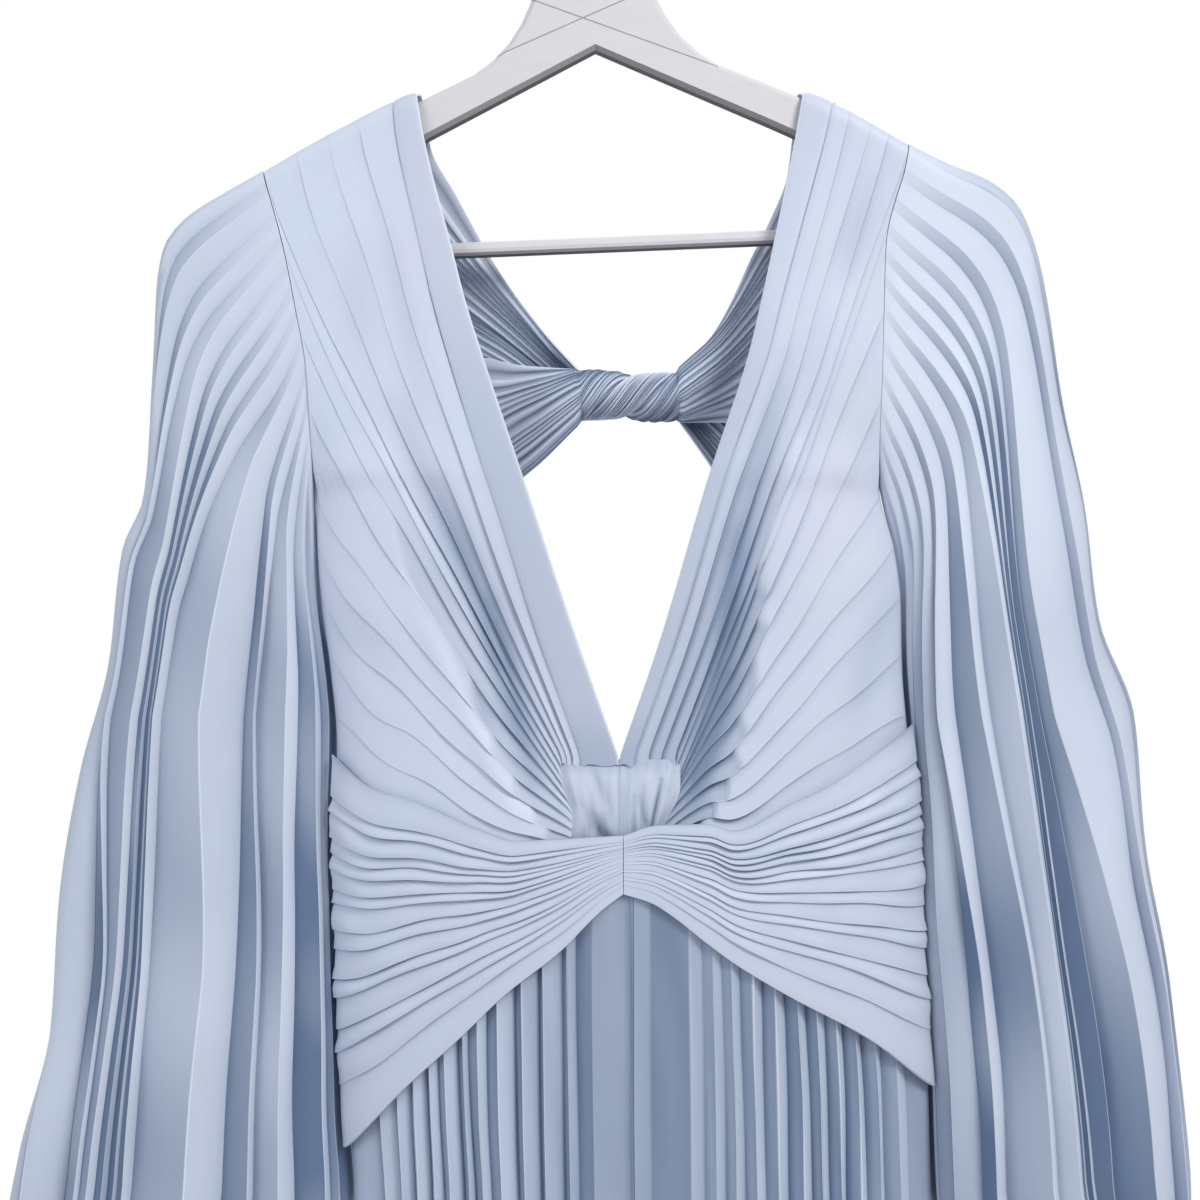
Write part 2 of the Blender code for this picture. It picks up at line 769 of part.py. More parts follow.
def shoulder_and_armhole(start_x, left, foot_z):
    """Boundary from the neck along the shoulder and down the back armhole to a level."""
    tip_x, tip_z = SHOULDERS[0] if left else SHOULDERS[-1]
    split = 0.5

    def point(s):
        if s <= split:
            x = start_x + (tip_x - start_x) * s / split
            return Vector((x, shoulder_level(x)))
        z = tip_z + (foot_z - tip_z) * (s - split) / (1 - split)
        return Vector((armhole_edge(z, left), z))

    return point


def armhole_to_waist(top_z, left, end_x):
    """Boundary from a level of the back armhole down the side and along the waist seam."""
    waist = WAIST_Z + SEAM / 2
    split = 0.72

    def point(s):
        if s <= split:
            z = top_z + (waist - top_z) * s / split
            return Vector((armhole_edge(z, left), z))
        x = armhole_edge(waist, left) + (end_x - armhole_edge(waist, left)) * (s - split) / (1 - split)
        return Vector((x, waist))

    return point


def twist_level(s):
    """Level of a wrap's point where it enters the twist."""
    return TWIST_Z + TWIST_RADIUS * math.sin((0.5 - s) * 2 * TWIST_SPREAD)


def back_wrap(name, near, material):
    """Half of the open back: from one shoulder, through the twist, to the other side seam and the waist.

    The near wrap comes from the right shoulder and lies nearer the viewer, the far one comes from the left.
    """
    if near:
        start_left, foot_z, top_z = False, -334.4, -301.6
        enter_x, leave_x = TWIST_RIGHT_X, TWIST_LEFT_X
        neck_x = neck_right(-150) - 1.0
        neckline = [(116.5, -188), (106, -215), (96, -235), (84.5, -260), (74, -280)]
        under = [(armhole_edge(foot_z, False), foot_z), (120, -331.5), (85, -330)]
        upper_out = [(-41, -297), (-62, -293), (-110, -293), (armhole_edge(top_z, True), top_z)]
        keyhole = KEYHOLE_LEFT
    else:
        start_left, foot_z, top_z = True, -300.6, -335.4
        enter_x, leave_x = TWIST_LEFT_X, TWIST_RIGHT_X
        neck_x = neck_left(-150) + 1.0
        neckline = [(-91, -172), (-76, -200), (-62, -227), (-49, -250), (-34, -275)]
        under = [(armhole_edge(foot_z, True), foot_z), (-130, -290), (-100, -288), (-60, -300)]
        upper_out = [(95, -316), (125, -331), (148, -336), (armhole_edge(top_z, False), top_z)]
        keyhole = KEYHOLE_RIGHT
    neckline = [(neck_x, shoulder_level(neck_x))] + neckline

    def enter(s):
        return Vector((enter_x, twist_level(s)))

    def leave(s):
        return Vector((leave_x, twist_level(s)))

    first = coons(
        shoulder_and_armhole(neckline[0][0], start_left, foot_z),
        enter,
        path_through(neckline + [tuple(enter(0))]),
        path_through(under + [tuple(enter(1))]),
    )
    last = coons(
        leave,
        armhole_to_waist(top_z, not start_left, keyhole[-1][0]),
        path_through([tuple(leave(0))] + upper_out),
        path_through([tuple(leave(1))] + keyhole[1:]),
    )
    layer = -1 if near else 1

    def layered(x, z, s, wound):
        """Point of a fan, parted from the other wrap's layer and drawn into the twist's half round."""
        side = left_side(z) if x < CENTRE_X else right_side(z)
        parted = LAYER_LIFT * ease(0, 40, abs(x - side)) * (1 - ease(-280, -215, z))
        parted *= ease(WAIST_Z, WAIST_Z + 60, z)
        flat = body_point(x, z, 1) + Vector((0, layer * parted, 0))
        depth = TWIST_RADIUS * math.cos((0.5 - s) * 2 * TWIST_SPREAD)
        round_y = TWIST_Y + layer * (depth - (WALL if near else 0))
        return flat.lerp(Vector((x, round_y, z)), wound)

    def surface(s, t):
        """t runs 0 to 1 down from the shoulder, 1 to 2 through the twist, and 2 to 3 out to the side."""
        if t <= 1:
            x, z = first(s, t)
            return layered(x, z, s, ease(0.68, 1.0, t))
        if t >= 2:
            x, z = last(s, t - 2)
            return layered(x, z, s, 1 - ease(0.0, 0.3, t - 2))
        x = enter_x + (leave_x - enter_x) * (t - 1)
        turn = 2 * math.pi * (TWIST_RIGHT_X - x) / (TWIST_RIGHT_X - TWIST_LEFT_X)
        spread = (s - 0.5) * 2 * TWIST_SPREAD
        angle = turn + spread if near else turn + math.pi - spread
        radius = TWIST_RADIUS - (WALL if near else 0)
        return Vector((x, TWIST_Y - radius * math.cos(angle), TWIST_Z - radius * math.sin(angle)))

    def normal(s, t):
        step = 0.01
        if t < 0.05 or t > 2.99:
            x, _, z = surface(s, t)
            return body_normal(x, z, 1)
        across = surface(min(1.0, s + step), t) - surface(max(0.0, s - step), t)
        first_t, last_t = (1.0, 2.0) if 1 <= t <= 2 else (0.0, 3.0)
        along = surface(s, min(last_t, t + step)) - surface(s, max(first_t, t - step))
        turned = across.cross(along).normalized()
        return turned if near else -turned

    twist_rows = [1 + share for share in even_rows(TWIST_ROWS)]
    rows = WRAP_ROWS_START + twist_rows + [2 + share for share in WRAP_ROWS_END]
    columns, valleys = with_roll(pleat_columns(even_rows(WRAP_PLEATS), 0.5), 0.5, 1.0, 0)
    outer = []
    inner = []
    for t in rows:
        outer_row = []
        inner_row = []
        for index, s in enumerate(columns):
            facing = normal(s, t)
            depth = 0.0
            if index in valleys:
                deepest = 1.6 if 0.1 < s < 0.9 else 0.6
                depth = deepest * (ease(0.0, 0.3, min(t, 3 - t)) - 0.4 * ease(0.6, 0.85, min(t, 3 - t)))
            face = surface(s, t) - facing * depth
            outer_row.append(keep_side(face, 1))
            inner_row.append(keep_side(face - facing * WALL, 1))
        outer.append(outer_row)
        inner.append(inner_row)
    return make_wall(name, outer, inner, material)


# Hanger

# Hanger's arm: across, top edge, lower edge
ARM = [
    (0, -104.5, -120.0),
    (72, -133.3, -154.4),
    (96, -142.9, -165.8),
    (140, -163.4, -187.5),
    (183, -187.3, -210.0),
    (196, -194.6, -217.0),
]
ARM_TIP = [(196, -239.5), (214, -239.5), (221, -232.0), (221, -214.0), (215, -206.6)]
NECK_PLATE = [
    (70, -131.4), (59, -124), (49, -114), (41.5, -103),
    (36.4, -92.6), (31.5, -80), (28.5, -72), (22, NECK_TOP),
]


def hanger_outline():
    """Outline of the wooden hanger seen from the front: right half, then left half."""
    low = [(x, z) for x, _, z in ARM]
    top = [(x, z) for x, z, _ in ARM if x > 75]
    half = low + ARM_TIP + list(reversed(top)) + NECK_PLATE
    mirrored = [(-x, z) for x, z in reversed(half) if x > 0]
    return half + mirrored


def extrude_outline(name, outline, thickness, bevel, material):
    """Make a flat board from its outline, with its long edges rounded."""
    count = len(outline)
    points = [Vector((x, y, z)) for y in (-thickness / 2, thickness / 2) for x, z in outline]
    faces = [tuple(range(count)), tuple(reversed(range(count, 2 * count)))]
    faces += [(i, i + count, (i + 1) % count + count, (i + 1) % count) for i in range(count)]
    board = make_object(name, points, faces, material)
    rounding = board.modifiers.new("rounded_edges", "BEVEL")
    rounding.width = bevel * MM
    rounding.segments = 1
    rounding.limit_method = "ANGLE"
    rounding.angle_limit = math.radians(60)
    return board


def tube_along(name, centres, radius, sides, material):
    """Make a round solid along a path that lies in one upright plane."""
    points = []
    for i, centre in enumerate(centres):
        ahead = (centres[min(i + 1, len(centres) - 1)] - centres[max(i - 1, 0)]).normalized()
        across = Vector((0, 1, 0))
        upright = ahead.cross(across).normalized()
        for k in range(sides):
            angle = 2 * math.pi * k / sides
            points.append(centre + across * radius * math.cos(angle) + upright * radius * math.sin(angle))
    faces = []
    for i in range(len(centres) - 1):
        for k in range(sides):
            a = i * sides + k
            b = i * sides + (k + 1) % sides
            faces.append((a, b, b + sides, a + sides))
    faces.append(tuple(reversed(range(sides))))
    faces.append(tuple(range(len(points) - sides, len(points))))
    return make_object(name, points, faces, material)


def hook_path():
    """Centre line of the hook: round from its tip, over the crown, and down to the neck."""
    centre = Vector((0, 0, HOOK_WIRE - HOOK_RADIUS))
    path = []
    for degrees in range(200, -61, -20):
        angle = math.radians(degrees)
        path.append(centre + Vector((math.cos(angle), 0, math.sin(angle))) * HOOK_RADIUS)
    bend = path[-1]
    path.append(bend + Vector((-6.5, 0, -5.0)))
    path.append(Vector((0, 0, bend[2] - 12)))
    path.append(Vector((0, 0, NECK_TOP + SEAM)))
    return path


def hanger():
    """Hanger with its trouser bar and hook, tilted as it hangs."""
    wood = make_material("hanger_arms", (0.83, 0.80, 0.81), 0.45)
    bar_wood = make_material("hanger_bar", (0.83, 0.80, 0.81), 0.45)
    metal = make_material("hanger_hook", (0.8, 0.8, 0.8), 0.2, 1.0)
    board = extrude_outline("hanger_arms", hanger_outline(), HANGER_THICKNESS, 2.5, wood)
    reach = BAR_END - SEAM
    bar_line = [Vector((x, 0, -BAR_DROP)) for x in (-reach, 0, reach)]
    bar = tube_along("hanger_bar", bar_line, BAR_RADIUS, 14, bar_wood)
    hook = tube_along("hanger_hook", hook_path(), HOOK_WIRE, 8, metal)
    tilt = Matrix.Rotation(-math.radians(HANGER_TILT), 4, "Y")
    for piece in (board, bar, hook):
        piece.matrix_world = tilt


def build():
    """Make the dress and its hanger."""
    for thing in list(bpy.data.objects):
        bpy.data.objects.remove(thing)
    hanger()
    for left, word in ((True, "left"), (False, "right")):
        front_panel("front_" + word, left, satin("front_" + word))
        neck_band("neck_band_" + word, left, satin("neck_band_" + word))
        insert_half("insert_" + word, left, satin("insert_" + word))
        sash_half("sash_" + word, left, satin("sash_" + word))
        sleeve("sleeve_" + word, left, satin("sleeve_" + word))
        cuff("cuff_" + word, left, satin("cuff_" + word))
    back_wrap("back_wrap_right", True, satin("back_wrap_right"))
    back_wrap("back_wrap_left", False, satin("back_wrap_left"))
    left_stops = even_rows(SKIRT_PLEATS_LEFT)
    skirt_panel("skirt_front_left", left_stops, left_side, left_of_centre, -1, satin("skirt_front_left"))
    right_stops = seam_panel_stops(SKIRT_PLEATS_RIGHT)
    right_satin = satin("skirt_front_right")
    skirt_panel("skirt_front_right", right_stops, right_of_centre, right_side, -1, right_satin)
    skirt_panel("skirt_back", even_rows(SKIRT_PLEATS_BACK), left_side, right_side, 1, satin("skirt_back"))


build()
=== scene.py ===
import math

import bpy
import numpy as np
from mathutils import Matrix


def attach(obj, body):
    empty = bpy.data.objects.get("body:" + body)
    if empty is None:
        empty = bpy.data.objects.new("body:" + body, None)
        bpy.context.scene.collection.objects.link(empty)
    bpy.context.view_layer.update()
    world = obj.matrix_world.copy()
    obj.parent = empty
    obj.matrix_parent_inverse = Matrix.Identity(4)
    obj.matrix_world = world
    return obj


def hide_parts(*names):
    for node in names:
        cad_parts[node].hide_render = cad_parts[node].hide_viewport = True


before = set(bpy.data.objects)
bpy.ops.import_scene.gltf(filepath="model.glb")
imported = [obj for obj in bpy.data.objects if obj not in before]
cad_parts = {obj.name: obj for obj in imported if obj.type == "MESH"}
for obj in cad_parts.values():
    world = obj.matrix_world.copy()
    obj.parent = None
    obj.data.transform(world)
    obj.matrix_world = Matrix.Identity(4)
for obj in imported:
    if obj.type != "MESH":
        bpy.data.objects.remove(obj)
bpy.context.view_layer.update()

# Pleated satin dress on a hanger. Patterns and forms are in millimetres, measured from the hook, and become
# metres when a piece is made. +X is the viewer's right, +Y goes to the back, +Z is up.
MM = 0.001

# Gap at a seam, thickness of the satin, wall of the solid cloth, and lift of the sash over the fronts
SEAM = 0.3
CLOTH = 0.9
CLOTH_WALL = 1.6
SASH_LIFT = 0.5

WAIST_Z = -583.0
UNDERARM_Z = -372.0
SHELF_Z = -526.0
SHOULDER_Z = -150.0
HEM_Z = -1348.0
CUFF_TOP_Z = -838.0
CUFF_HEIGHT = 32.0
CUFF_HALF_WIDTH = 47.5
CUFF_HALF_DEPTH = 11.0
CENTRE_X = 18.0
SKIRT_SEAM_X = 26.0
SHOULDER_ROLL = 9.0
CROWN = 2.4

# Side outline of the dress: level, left edge, right edge
SIDES = [
    (-189, -185, 181),
    (-232, -173, 170),
    (-271, -165, 168.5),
    (-304, -159, 167.5),
    (-340, -157, 166.5),
    (-372, -156, 168),
    (-405, -155, 176),
    (-435, -153, 180.5),
    (-475, -147.5, 181.5),
    (-515, -144, 184.5),
    (-583, -143.5, 189.5),
    (-628, -141.5, 190.5),
    (-675, -140, 193.5),
    (-720, -138, 196.5),
    (-780, -134, 198),
    (-870, -146, 209),
    (-1348, -208, 272),
]

# Fullness of the hanging dress: level, front depth, back depth, half gap at the armhole edge
FULLNESS = [
    (-145, 11.2, 11.2, 10.8),
    (-190, 13, 13, 10.8),
    (-235, 19, 18, 12),
    (-300, 27, 25, 14.5),
    (-330, 30, 28, 13.5),
    (-350, 32, 30, 10.5),
    (-365, 33.5, 32, 5.5),
    (-372, 34, 33, 0.15),
    (-440, 39, 36, 0.15),
    (-521, 44, 40, 0.15),
    (-583, 46, 43, 0.15),
    (-780, 51, 49, 0.15),
    (-1348, 80, 80, 0.15),
]

# Shoulder seam over the hanger's arms: across, level
SHOULDERS = [
    (-185, -188.5),
    (-161, -175.2),
    (-137, -162.3),
    (-114, -150.5),
    (-97, -144.2),
    (123, -143.4),
    (143, -150.2),
    (162, -160.3),
    (184, -173.0),
]

# Neck opening and its bands: level, left edge, left band width, right edge, right band width
NECK = [
    (-143, -97.5, 14, 123.5, 18.5),
    (-172, -92.6, 16, 118.6, 17),
    (-234, -76.7, 18, 105.7, 13),
    (-266, -68.4, 19, 98.5, 11.5),
    (-297, -58.6, 20, 91, 11),
    (-368, -34.8, 21, 67.5, 9),
    (-457, -5.2, 21, 40.7, 8),
    (-519.5, 16.97, 21, 19.02, 7.5),
    (-521, 17.5, 21, 18.5, 7.5),
    (-526, 17.85, 21.4, 18.15, 7.8),
]

# Sash edges, from the centre seam outwards: across, level
SASH_TOP_LEFT = [
    (20.2, -564.5), (-16.6, -566.4), (-38, -567.5), (-60, -561.1), (-94, -547), (-118, -541), (-141.5, -523),
]
SASH_LOW_LEFT = [
    (20.2, -596.5), (8.6, -605.2), (-14, -627.7), (-45, -652.6), (-67.5, -675), (-102, -708.6),
    (-134.5, -747),
]
SASH_TOP_RIGHT = [
    (20.5, -564.5), (40, -558.7), (66.6, -558.2), (80.3, -562), (112, -548), (136, -537), (182.2, -506),
]
SASH_LOW_RIGHT = [
    (20.5, -596.5), (34.9, -601), (46.8, -608.3), (64.6, -622.4), (82.4, -635.6), (107, -650.9), (157, -680),
    (193.8, -712),
]

# Sash pleats from the top one down: width at the side seam, strength of the fold on the left and right
SASH_PLEATS = [
    (24, 0.7, 0.6),
    (9, 1.1, 1.2),
    (15, 1.2, 1.4),
    (8, 0.8, 1.5),
    (9, 1.1, 1.4),
    (12, 0.9, 1.1),
    (8, 1.1, 0.7),
    (16, 0.7, 0.5),
    (11, 1.0, 0.7),
    (17, 0.8, 0.4),
    (10, 1.1, 0.6),
    (19, 0.7, 0.4),
    (13, 1.0, 0.6),
    (21, 0.7, 0.4),
    (34, 0.35, 0.3),
]

# Outer edge of each sleeve, from the shoulder point to the cuff: across, level
SLEEVE_OUT_LEFT = [
    (-185, -188.5), (-206, -200.3), (-224, -211.4), (-235, -221.8), (-242, -233.8), (-246, -256),
    (-249, -310), (-254.5, -375), (-266, -405), (-274, -470), (-290, -534), (-303, -605),
    (-308, -680), (-326, -755), (-333, -795), (-326, -818), (-304, -834), (-280.5, -838),
]
SLEEVE_OUT_RIGHT = [
    (184, -173), (209, -185.5), (226, -192.2), (238, -199.3), (248, -209.7), (257, -232),
    (265, -268), (274, -325), (287, -388), (295, -448), (314, -502), (322, -584),
    (334, -653), (342, -726), (346, -790), (339, -817), (322, -833), (320.5, -838),
]
SLEEVE_IN_END_LEFT = [(-139, -795), (-152, -818), (-172, -833), (-185.5, -838)]
SLEEVE_IN_END_RIGHT = [(204, -795), (212, -818), (221, -833), (225.5, -838)]

# Sleeve fullness and fold depth: share of the way down, half depth, pleat depth
SLEEVE_SHAPE = [
    (0.0, 14, 0.0),
    (0.05, 14.5, 0.9),
    (0.15, 18, 1.8),
    (0.3, 24, 3.2),
    (0.5, 29, 4.6),
    (0.7, 34, 6.0),
    (0.88, 38, 6.5),
    (0.94, 33, 4.6),
    (1.0, 11, 0.8),
]
SLEEVE_SQUARENESS = 3.6

# Keyhole edges at the back, from the twist to the waist seam: across, level
KEYHOLE_LEFT = [(-4, -330), (-14, -340), (-26, -352), (-44, -368), (-78, -420), (-92, -490), (-68, -583)]
KEYHOLE_RIGHT = [(54, -330), (62, -341), (72, -355), (88, -380), (112, -430), (124, -500), (116, -583)]

# Twist at the back: its ends, its middle, its radius, and how far round it a wrap reaches to each side
TWIST_LEFT_X = -4.0
TWIST_RIGHT_X = 54.0
TWIST_Z = -315.0
TWIST_Y = 25.0
TWIST_RADIUS = 15.0
TWIST_SPREAD = 0.45 * math.pi

# Widths of a wrap's pleats: smooth wide strands between groups of fine ones
WRAP_PLEATS = (1.5, 1.0, 0.7, 0.6, 0.7, 0.9, 1.7, 0.8, 0.6, 0.6, 0.8, 1.6, 1.0, 0.7, 0.9, 1.5)

# Distance by which the wraps part where one lies over the other
LAYER_LIFT = 3.4

# Soft creases laid across the pleats: from, to, half width, height
CREASES_LEFT = [
    ((-118, -215), (-92, -330), 9.0, -1.2),
    ((-96, -250), (-70, -360), 8.0, 1.0),
    ((-108, -330), (-66, -430), 9.0, -2.2),
    ((-84, -372), (-46, -470), 8.0, -3.0),
    ((-56, -440), (-30, -535), 9.0, -4.2),
    ((-78, -462), (-52, -512), 5.0, -1.6),
    ((-96, -440), (-66, -492), 7.0, 1.6),
    ((-66, -500), (-40, -552), 6.0, 2.0),
    ((-150, -440), (-104, -480), 12.0, -1.0),
    ((-165, -300), (-110, -400), 16.0, 1.4),
    ((-136, -238), (-128, -300), 10.0, -1.0),
]
CREASES_RIGHT = [
    ((118, -335), (107, -380), 6.0, 1.6),
    ((107, -380), (98, -412), 5.0, 1.8),
    ((100, -440), (88, -500), 5.0, 2.0),
    ((86, -508), (72, -545), 5.0, 2.0),
    ((112, -300), (84, -410), 8.0, -2.4),
    ((86, -400), (72, -490), 8.0, -3.8),
    ((74, -480), (56, -552), 8.0, -4.4),
    ((96, -430), (66, -540), 10.0, -1.8),
    ((160, -200), (140, -262), 9.0, -1.8),
    ((146, -255), (128, -330), 10.0, 1.4),
    ((172, -430), (150, -520), 12.0, -1.4),
    ((160, -300), (126, -400), 14.0, 1.0),
]

# Skirt pleats from left to right: width, share that faces the light, painted shade on that face and on the
# other
SKIRT_PLEATS_LEFT = [
    (40, 0.90, 0.12, 0.80),
    (19, 0.85, 0.08, 0.60),
    (17, 0.70, 0.05, 0.75),
    (17, 0.72, 0.00, 0.90),
    (16, 0.50, 0.02, 0.80),
    (20, 0.65, 0.05, 0.95),
    (15, 0.30, 0.10, 0.80),
    (20, 0.42, 0.00, 0.85),
    (24, 0.72, 0.00, 0.92),
    (21, 0.84, 0.25, 0.95),
    (25, 0.80, 0.32, 0.92),
    (25, 0.38, 0.34, 0.90),
    (40, 0.92, 0.50, 0.74),
]
SKIRT_PLEATS_RIGHT = [
    (58, 0.32, 0.45, 0.80),
    (24, 0.55, 0.28, 0.70),
    (20, 0.52, 0.25, 0.72),
    (21, 0.48, 0.20, 0.78),
    (22, 0.48, 0.10, 0.82),
    (25, 0.48, 0.03, 0.88),
    (20, 0.52, 0.00, 0.88),
    (20, 0.52, 0.00, 0.88),
    (20, 0.45, 0.00, 0.88),
    (21, 0.48, 0.00, 0.76),
    (22, 0.38, 0.00, 0.72),
    (38, 0.34, 0.05, 0.52),
]

# Gathers of the insert: from, to, half width, height
CREASES_INSERT = [
    ((0.5, -550), (14, -574), 3.6, -3.6),
    ((2.5, -527), (9.5, -548), 2.4, -1.4),
    ((-9, -530), (1.5, -554), 5.0, 1.8),
    ((13, -530), (15, -560), 2.2, 0.9),
    ((22.5, -528), (22.0, -566), 1.3, -1.3),
    ((26.2, -543), (25.2, -572), 1.6, -2.2),
    ((29.5, -545), (33.0, -563), 2.2, -2.6),
    ((34.0, -529), (33.2, -553), 2.4, 1.5),
    ((41.2, -534), (34.2, -568), 1.1, -3.0),
    ((45.5, -530), (39.0, -560), 2.3, 1.5),
    ((20.6, -526), (20.2, -570), 0.8, -0.9),
]

# Line where the outer pleats fold under and the gathers beside the neck lie deeper: level, across
RIDGE_LEFT = [(-368, -117.4), (-412.8, -103.5), (-465, -74), (-521, -50.2), (-549.3, -33.6), (-575, -14)]
RIDGE_RIGHT = [
    (-335, 118.5), (-379.5, 107.4), (-410, 98.5), (-449, 98.5), (-500.5, 88), (-532, 82.4), (-562.6, 63),
    (-575, 52),
]

# Pressed faces of each sleeve from its outer edge to its inner one: painted shade, width at the armhole, and
# width at each of the face levels
FACE_LEVELS = (-500, -655, -838)
FACES_LEFT = [
    (0.05, 5, 0.3, 1.4, 4),
    (0.50, 3, 0.3, 3.3, 6),
    (0.10, 6, 4.5, 15.2, 11),
    (0.55, 3, 2.0, 5.7, 5),
    (0.00, 4, 0.7, 0.6, 1),
    (0.42, 3, 10.4, 3.0, 2),
    (0.00, 5, 2.2, 1.5, 1.5),
    (0.75, 3, 2.0, 1.6, 2),
    (0.20, 4, 0.7, 0.7, 1),
    (0.95, 3, 1.7, 1.5, 2),
    (0.25, 4, 0.6, 0.7, 1),
    (0.90, 3, 0.9, 1.5, 2),
    (0.00, 5, 2.6, 1.8, 1.5),
    (0.30, 3, 13.8, 15.3, 12),
    (0.06, 6, 15.0, 8.7, 8),
    (0.60, 3, 3.9, 7.0, 7),
    (0.00, 5, 0.7, 1.1, 1),
    (0.36, 3, 13.3, 7.5, 7),
    (0.00, 6, 7.2, 5.9, 6),
    (0.60, 3, 8.7, 8.8, 8),
    (0.08, 5, 5.2, 2.8, 3),
    (0.50, 3, 2.0, 1.4, 2),
    (0.08, 5, 1.8, 1.4, 2),
    (0.85, 3, 2.5, 3.8, 3),
]
FACES_RIGHT = [
    (0.40, 3, 0.5, 5.0, 8),
    (0.06, 5, 26.5, 19.0, 16),
    (0.35, 3, 4.5, 3.0, 3),
    (0.05, 5, 45.0, 33.5, 28),
    (0.52, 3, 12.0, 35.0, 28),
    (0.20, 4, 1.0, 1.5, 2),
    (0.80, 3, 7.0, 15.0, 8),
    (0.15, 4, 1.0, 2.0, 2),
    (0.95, 3, 3.5, 3.0, 3),
    (0.10, 4, 1.0, 1.2, 2),
    (0.90, 3, 2.0, 1.8, 2),
    (0.00, 5, 3.5, 3.0, 2),
    (0.22, 3, 26.0, 16.0, 14),
    (0.00, 6, 9.5, 4.0, 4),
    (0.48, 3, 27.5, 36.5, 30),
    (0.03, 6, 22.0, 10.5, 8),
    (0.62, 3, 3.5, 17.5, 14),
    (0.26, 6, 14.0, 25.5, 20),
    (0.35, 3, 1.0, 1.5, 2),
    (0.40, 5, 10.5, 16.5, 12),
    (0.55, 3, 2.5, 2.0, 2),
    (0.15, 5, 2.5, 2.0, 2),
    (0.60, 3, 2.5, 2.0, 2),
    (0.85, 4, 4.5, 4.0, 4),
]


def smooth_through(knots):
    """Return a function that runs smoothly, without overshoot, through (position, value) knots."""
    knots = np.array(sorted(knots), float)
    places, values = knots.T
    spans = np.diff(places)
    steps = np.diff(values) / spans
    slopes = np.zeros(len(places))
    slopes[0] = steps[0]
    slopes[-1] = steps[-1]
    for i in range(1, len(places) - 1):
        before, after = steps[i - 1], steps[i]
        slopes[i] = 0.0 if before * after <= 0 else 2 * before * after / (before + after)

    def value(position):
        position = np.clip(position, places[0], places[-1])
        i = np.clip(np.searchsorted(places, position) - 1, 0, len(spans) - 1)
        u = (position - places[i]) / spans[i]
        start = (1 + 2 * u) * (1 - u) ** 2 * values[i] + u * (1 - u) ** 2 * spans[i] * slopes[i]
        end = u * u * (3 - 2 * u) * values[i + 1] - u * u * (1 - u) * spans[i] * slopes[i + 1]
        return start + end

    return value


def column(table, index):
    """Return one column of a table as a smooth function of its first column."""
    return smooth_through([(row[0], row[index]) for row in table])


def flat(x, z):
    """Put across and level side by side as flat points."""
    x, z = np.broadcast_arrays(np.asarray(x, float), np.asarray(z, float))
    return np.stack([x, z], axis=-1)


def curve_through(knots):
    """Return a smooth flat curve through (share, across, level) knots."""
    across, level = column(knots, 1), column(knots, 2)
    return lambda u: flat(across(u), level(u))


def path_through(points):
    """Return a smooth curve through flat points, with 0 at its start and 1 at its end, even by length."""
    lengths = [0.0]
    for a, b in zip(points, points[1:]):
        lengths.append(lengths[-1] + math.dist(a, b))
    return curve_through([(length / lengths[-1], *point) for length, point in zip(lengths, points)])


def ease(low, high, value):
    """Rise softly from 0 at low to 1 at high."""
    u = np.clip((value - low) / (high - low), 0.0, 1.0)
    return u * u * (3 - 2 * u)


def shares(widths):
    """Turn a list of widths into running shares of their sum, from 0 to 1."""
    return np.concatenate([[0.0], np.cumsum(widths) / float(sum(widths))])


def drift(place, seed, waves=(1.0, 2.3, 4.1)):
    """Slow uneven wave between about -1 and 1."""
    total = 0.0
    for k, wave in enumerate(waves):
        total = total + np.cos(seed * 1.7 + k) * np.sin(2 * math.pi * wave * place + seed * (2.4 + k))
    return total / 1.6


left_side = column(SIDES, 1)
right_side = column(SIDES, 2)
front_fullness = column(FULLNESS, 1)
back_fullness = column(FULLNESS, 2)
edge_gap = column(FULLNESS, 3)
shoulder_level = smooth_through(SHOULDERS)
neck_left = column(NECK, 1)
band_left = column(NECK, 2)
neck_right = column(NECK, 3)
band_right = column(NECK, 4)
sleeve_depth = column(SLEEVE_SHAPE, 1)
sleeve_pleat_depth = column(SLEEVE_SHAPE, 2)


# Level from which the sides round off more squarely on the way down to the underarm
SQUARE_TOP_Z = -330.0
SLOPE_STEP = 0.15


def body_depth(x, z, side):
    """Distance of the body's face from the seams' plane, rounded at the sides and over the shoulders."""
    fullness = front_fullness if side < 0 else back_fullness
    half = (right_side(z) - left_side(z)) / 2
    middle = (right_side(z) + left_side(z)) / 2
    across = np.minimum(1.0, np.abs(x - middle) / half)
    crown = (1 - across ** CROWN) ** (1 - 0.5 * ease(SQUARE_TOP_Z, UNDERARM_Z, z))
    drop = np.clip((shoulder_level(x) - z) / SHOULDER_ROLL, 0.0, 1.0)
    roll = np.sqrt(1 - (1 - drop) ** 2)
    edge = edge_gap(z)
    return SEAM / 2 + (edge - SEAM / 2 + (fullness(z) - edge) * crown) * roll


def body_surface(xz, side):
    """Points and outward directions of the body's face at flat points."""
    x, z = xz[..., 0], xz[..., 1]
    step = SLOPE_STEP
    slope_x = (body_depth(x + step, z, side) - body_depth(x - step, z, side)) / (2 * step)
    slope_z = (body_depth(x, z + step, side) - body_depth(x, z - step, side)) / (2 * step)
    points = np.stack([x, side * body_depth(x, z, side), z], axis=-1)
    normals = np.stack([-slope_x, np.full_like(x, side), -slope_z], axis=-1)
    return points, normals / np.linalg.norm(normals, axis=-1, keepdims=True)


def keep_side(points, side):
    """Keep points on their own side of the plane where front and back are sewn together."""
    points = points.copy()
    points[..., 1] = side * np.maximum(SEAM / 2, side * points[..., 1])
    return points


def ends(path):
    """First and last point of a curve."""
    return path(np.array(0.0)), path(np.array(1.0))


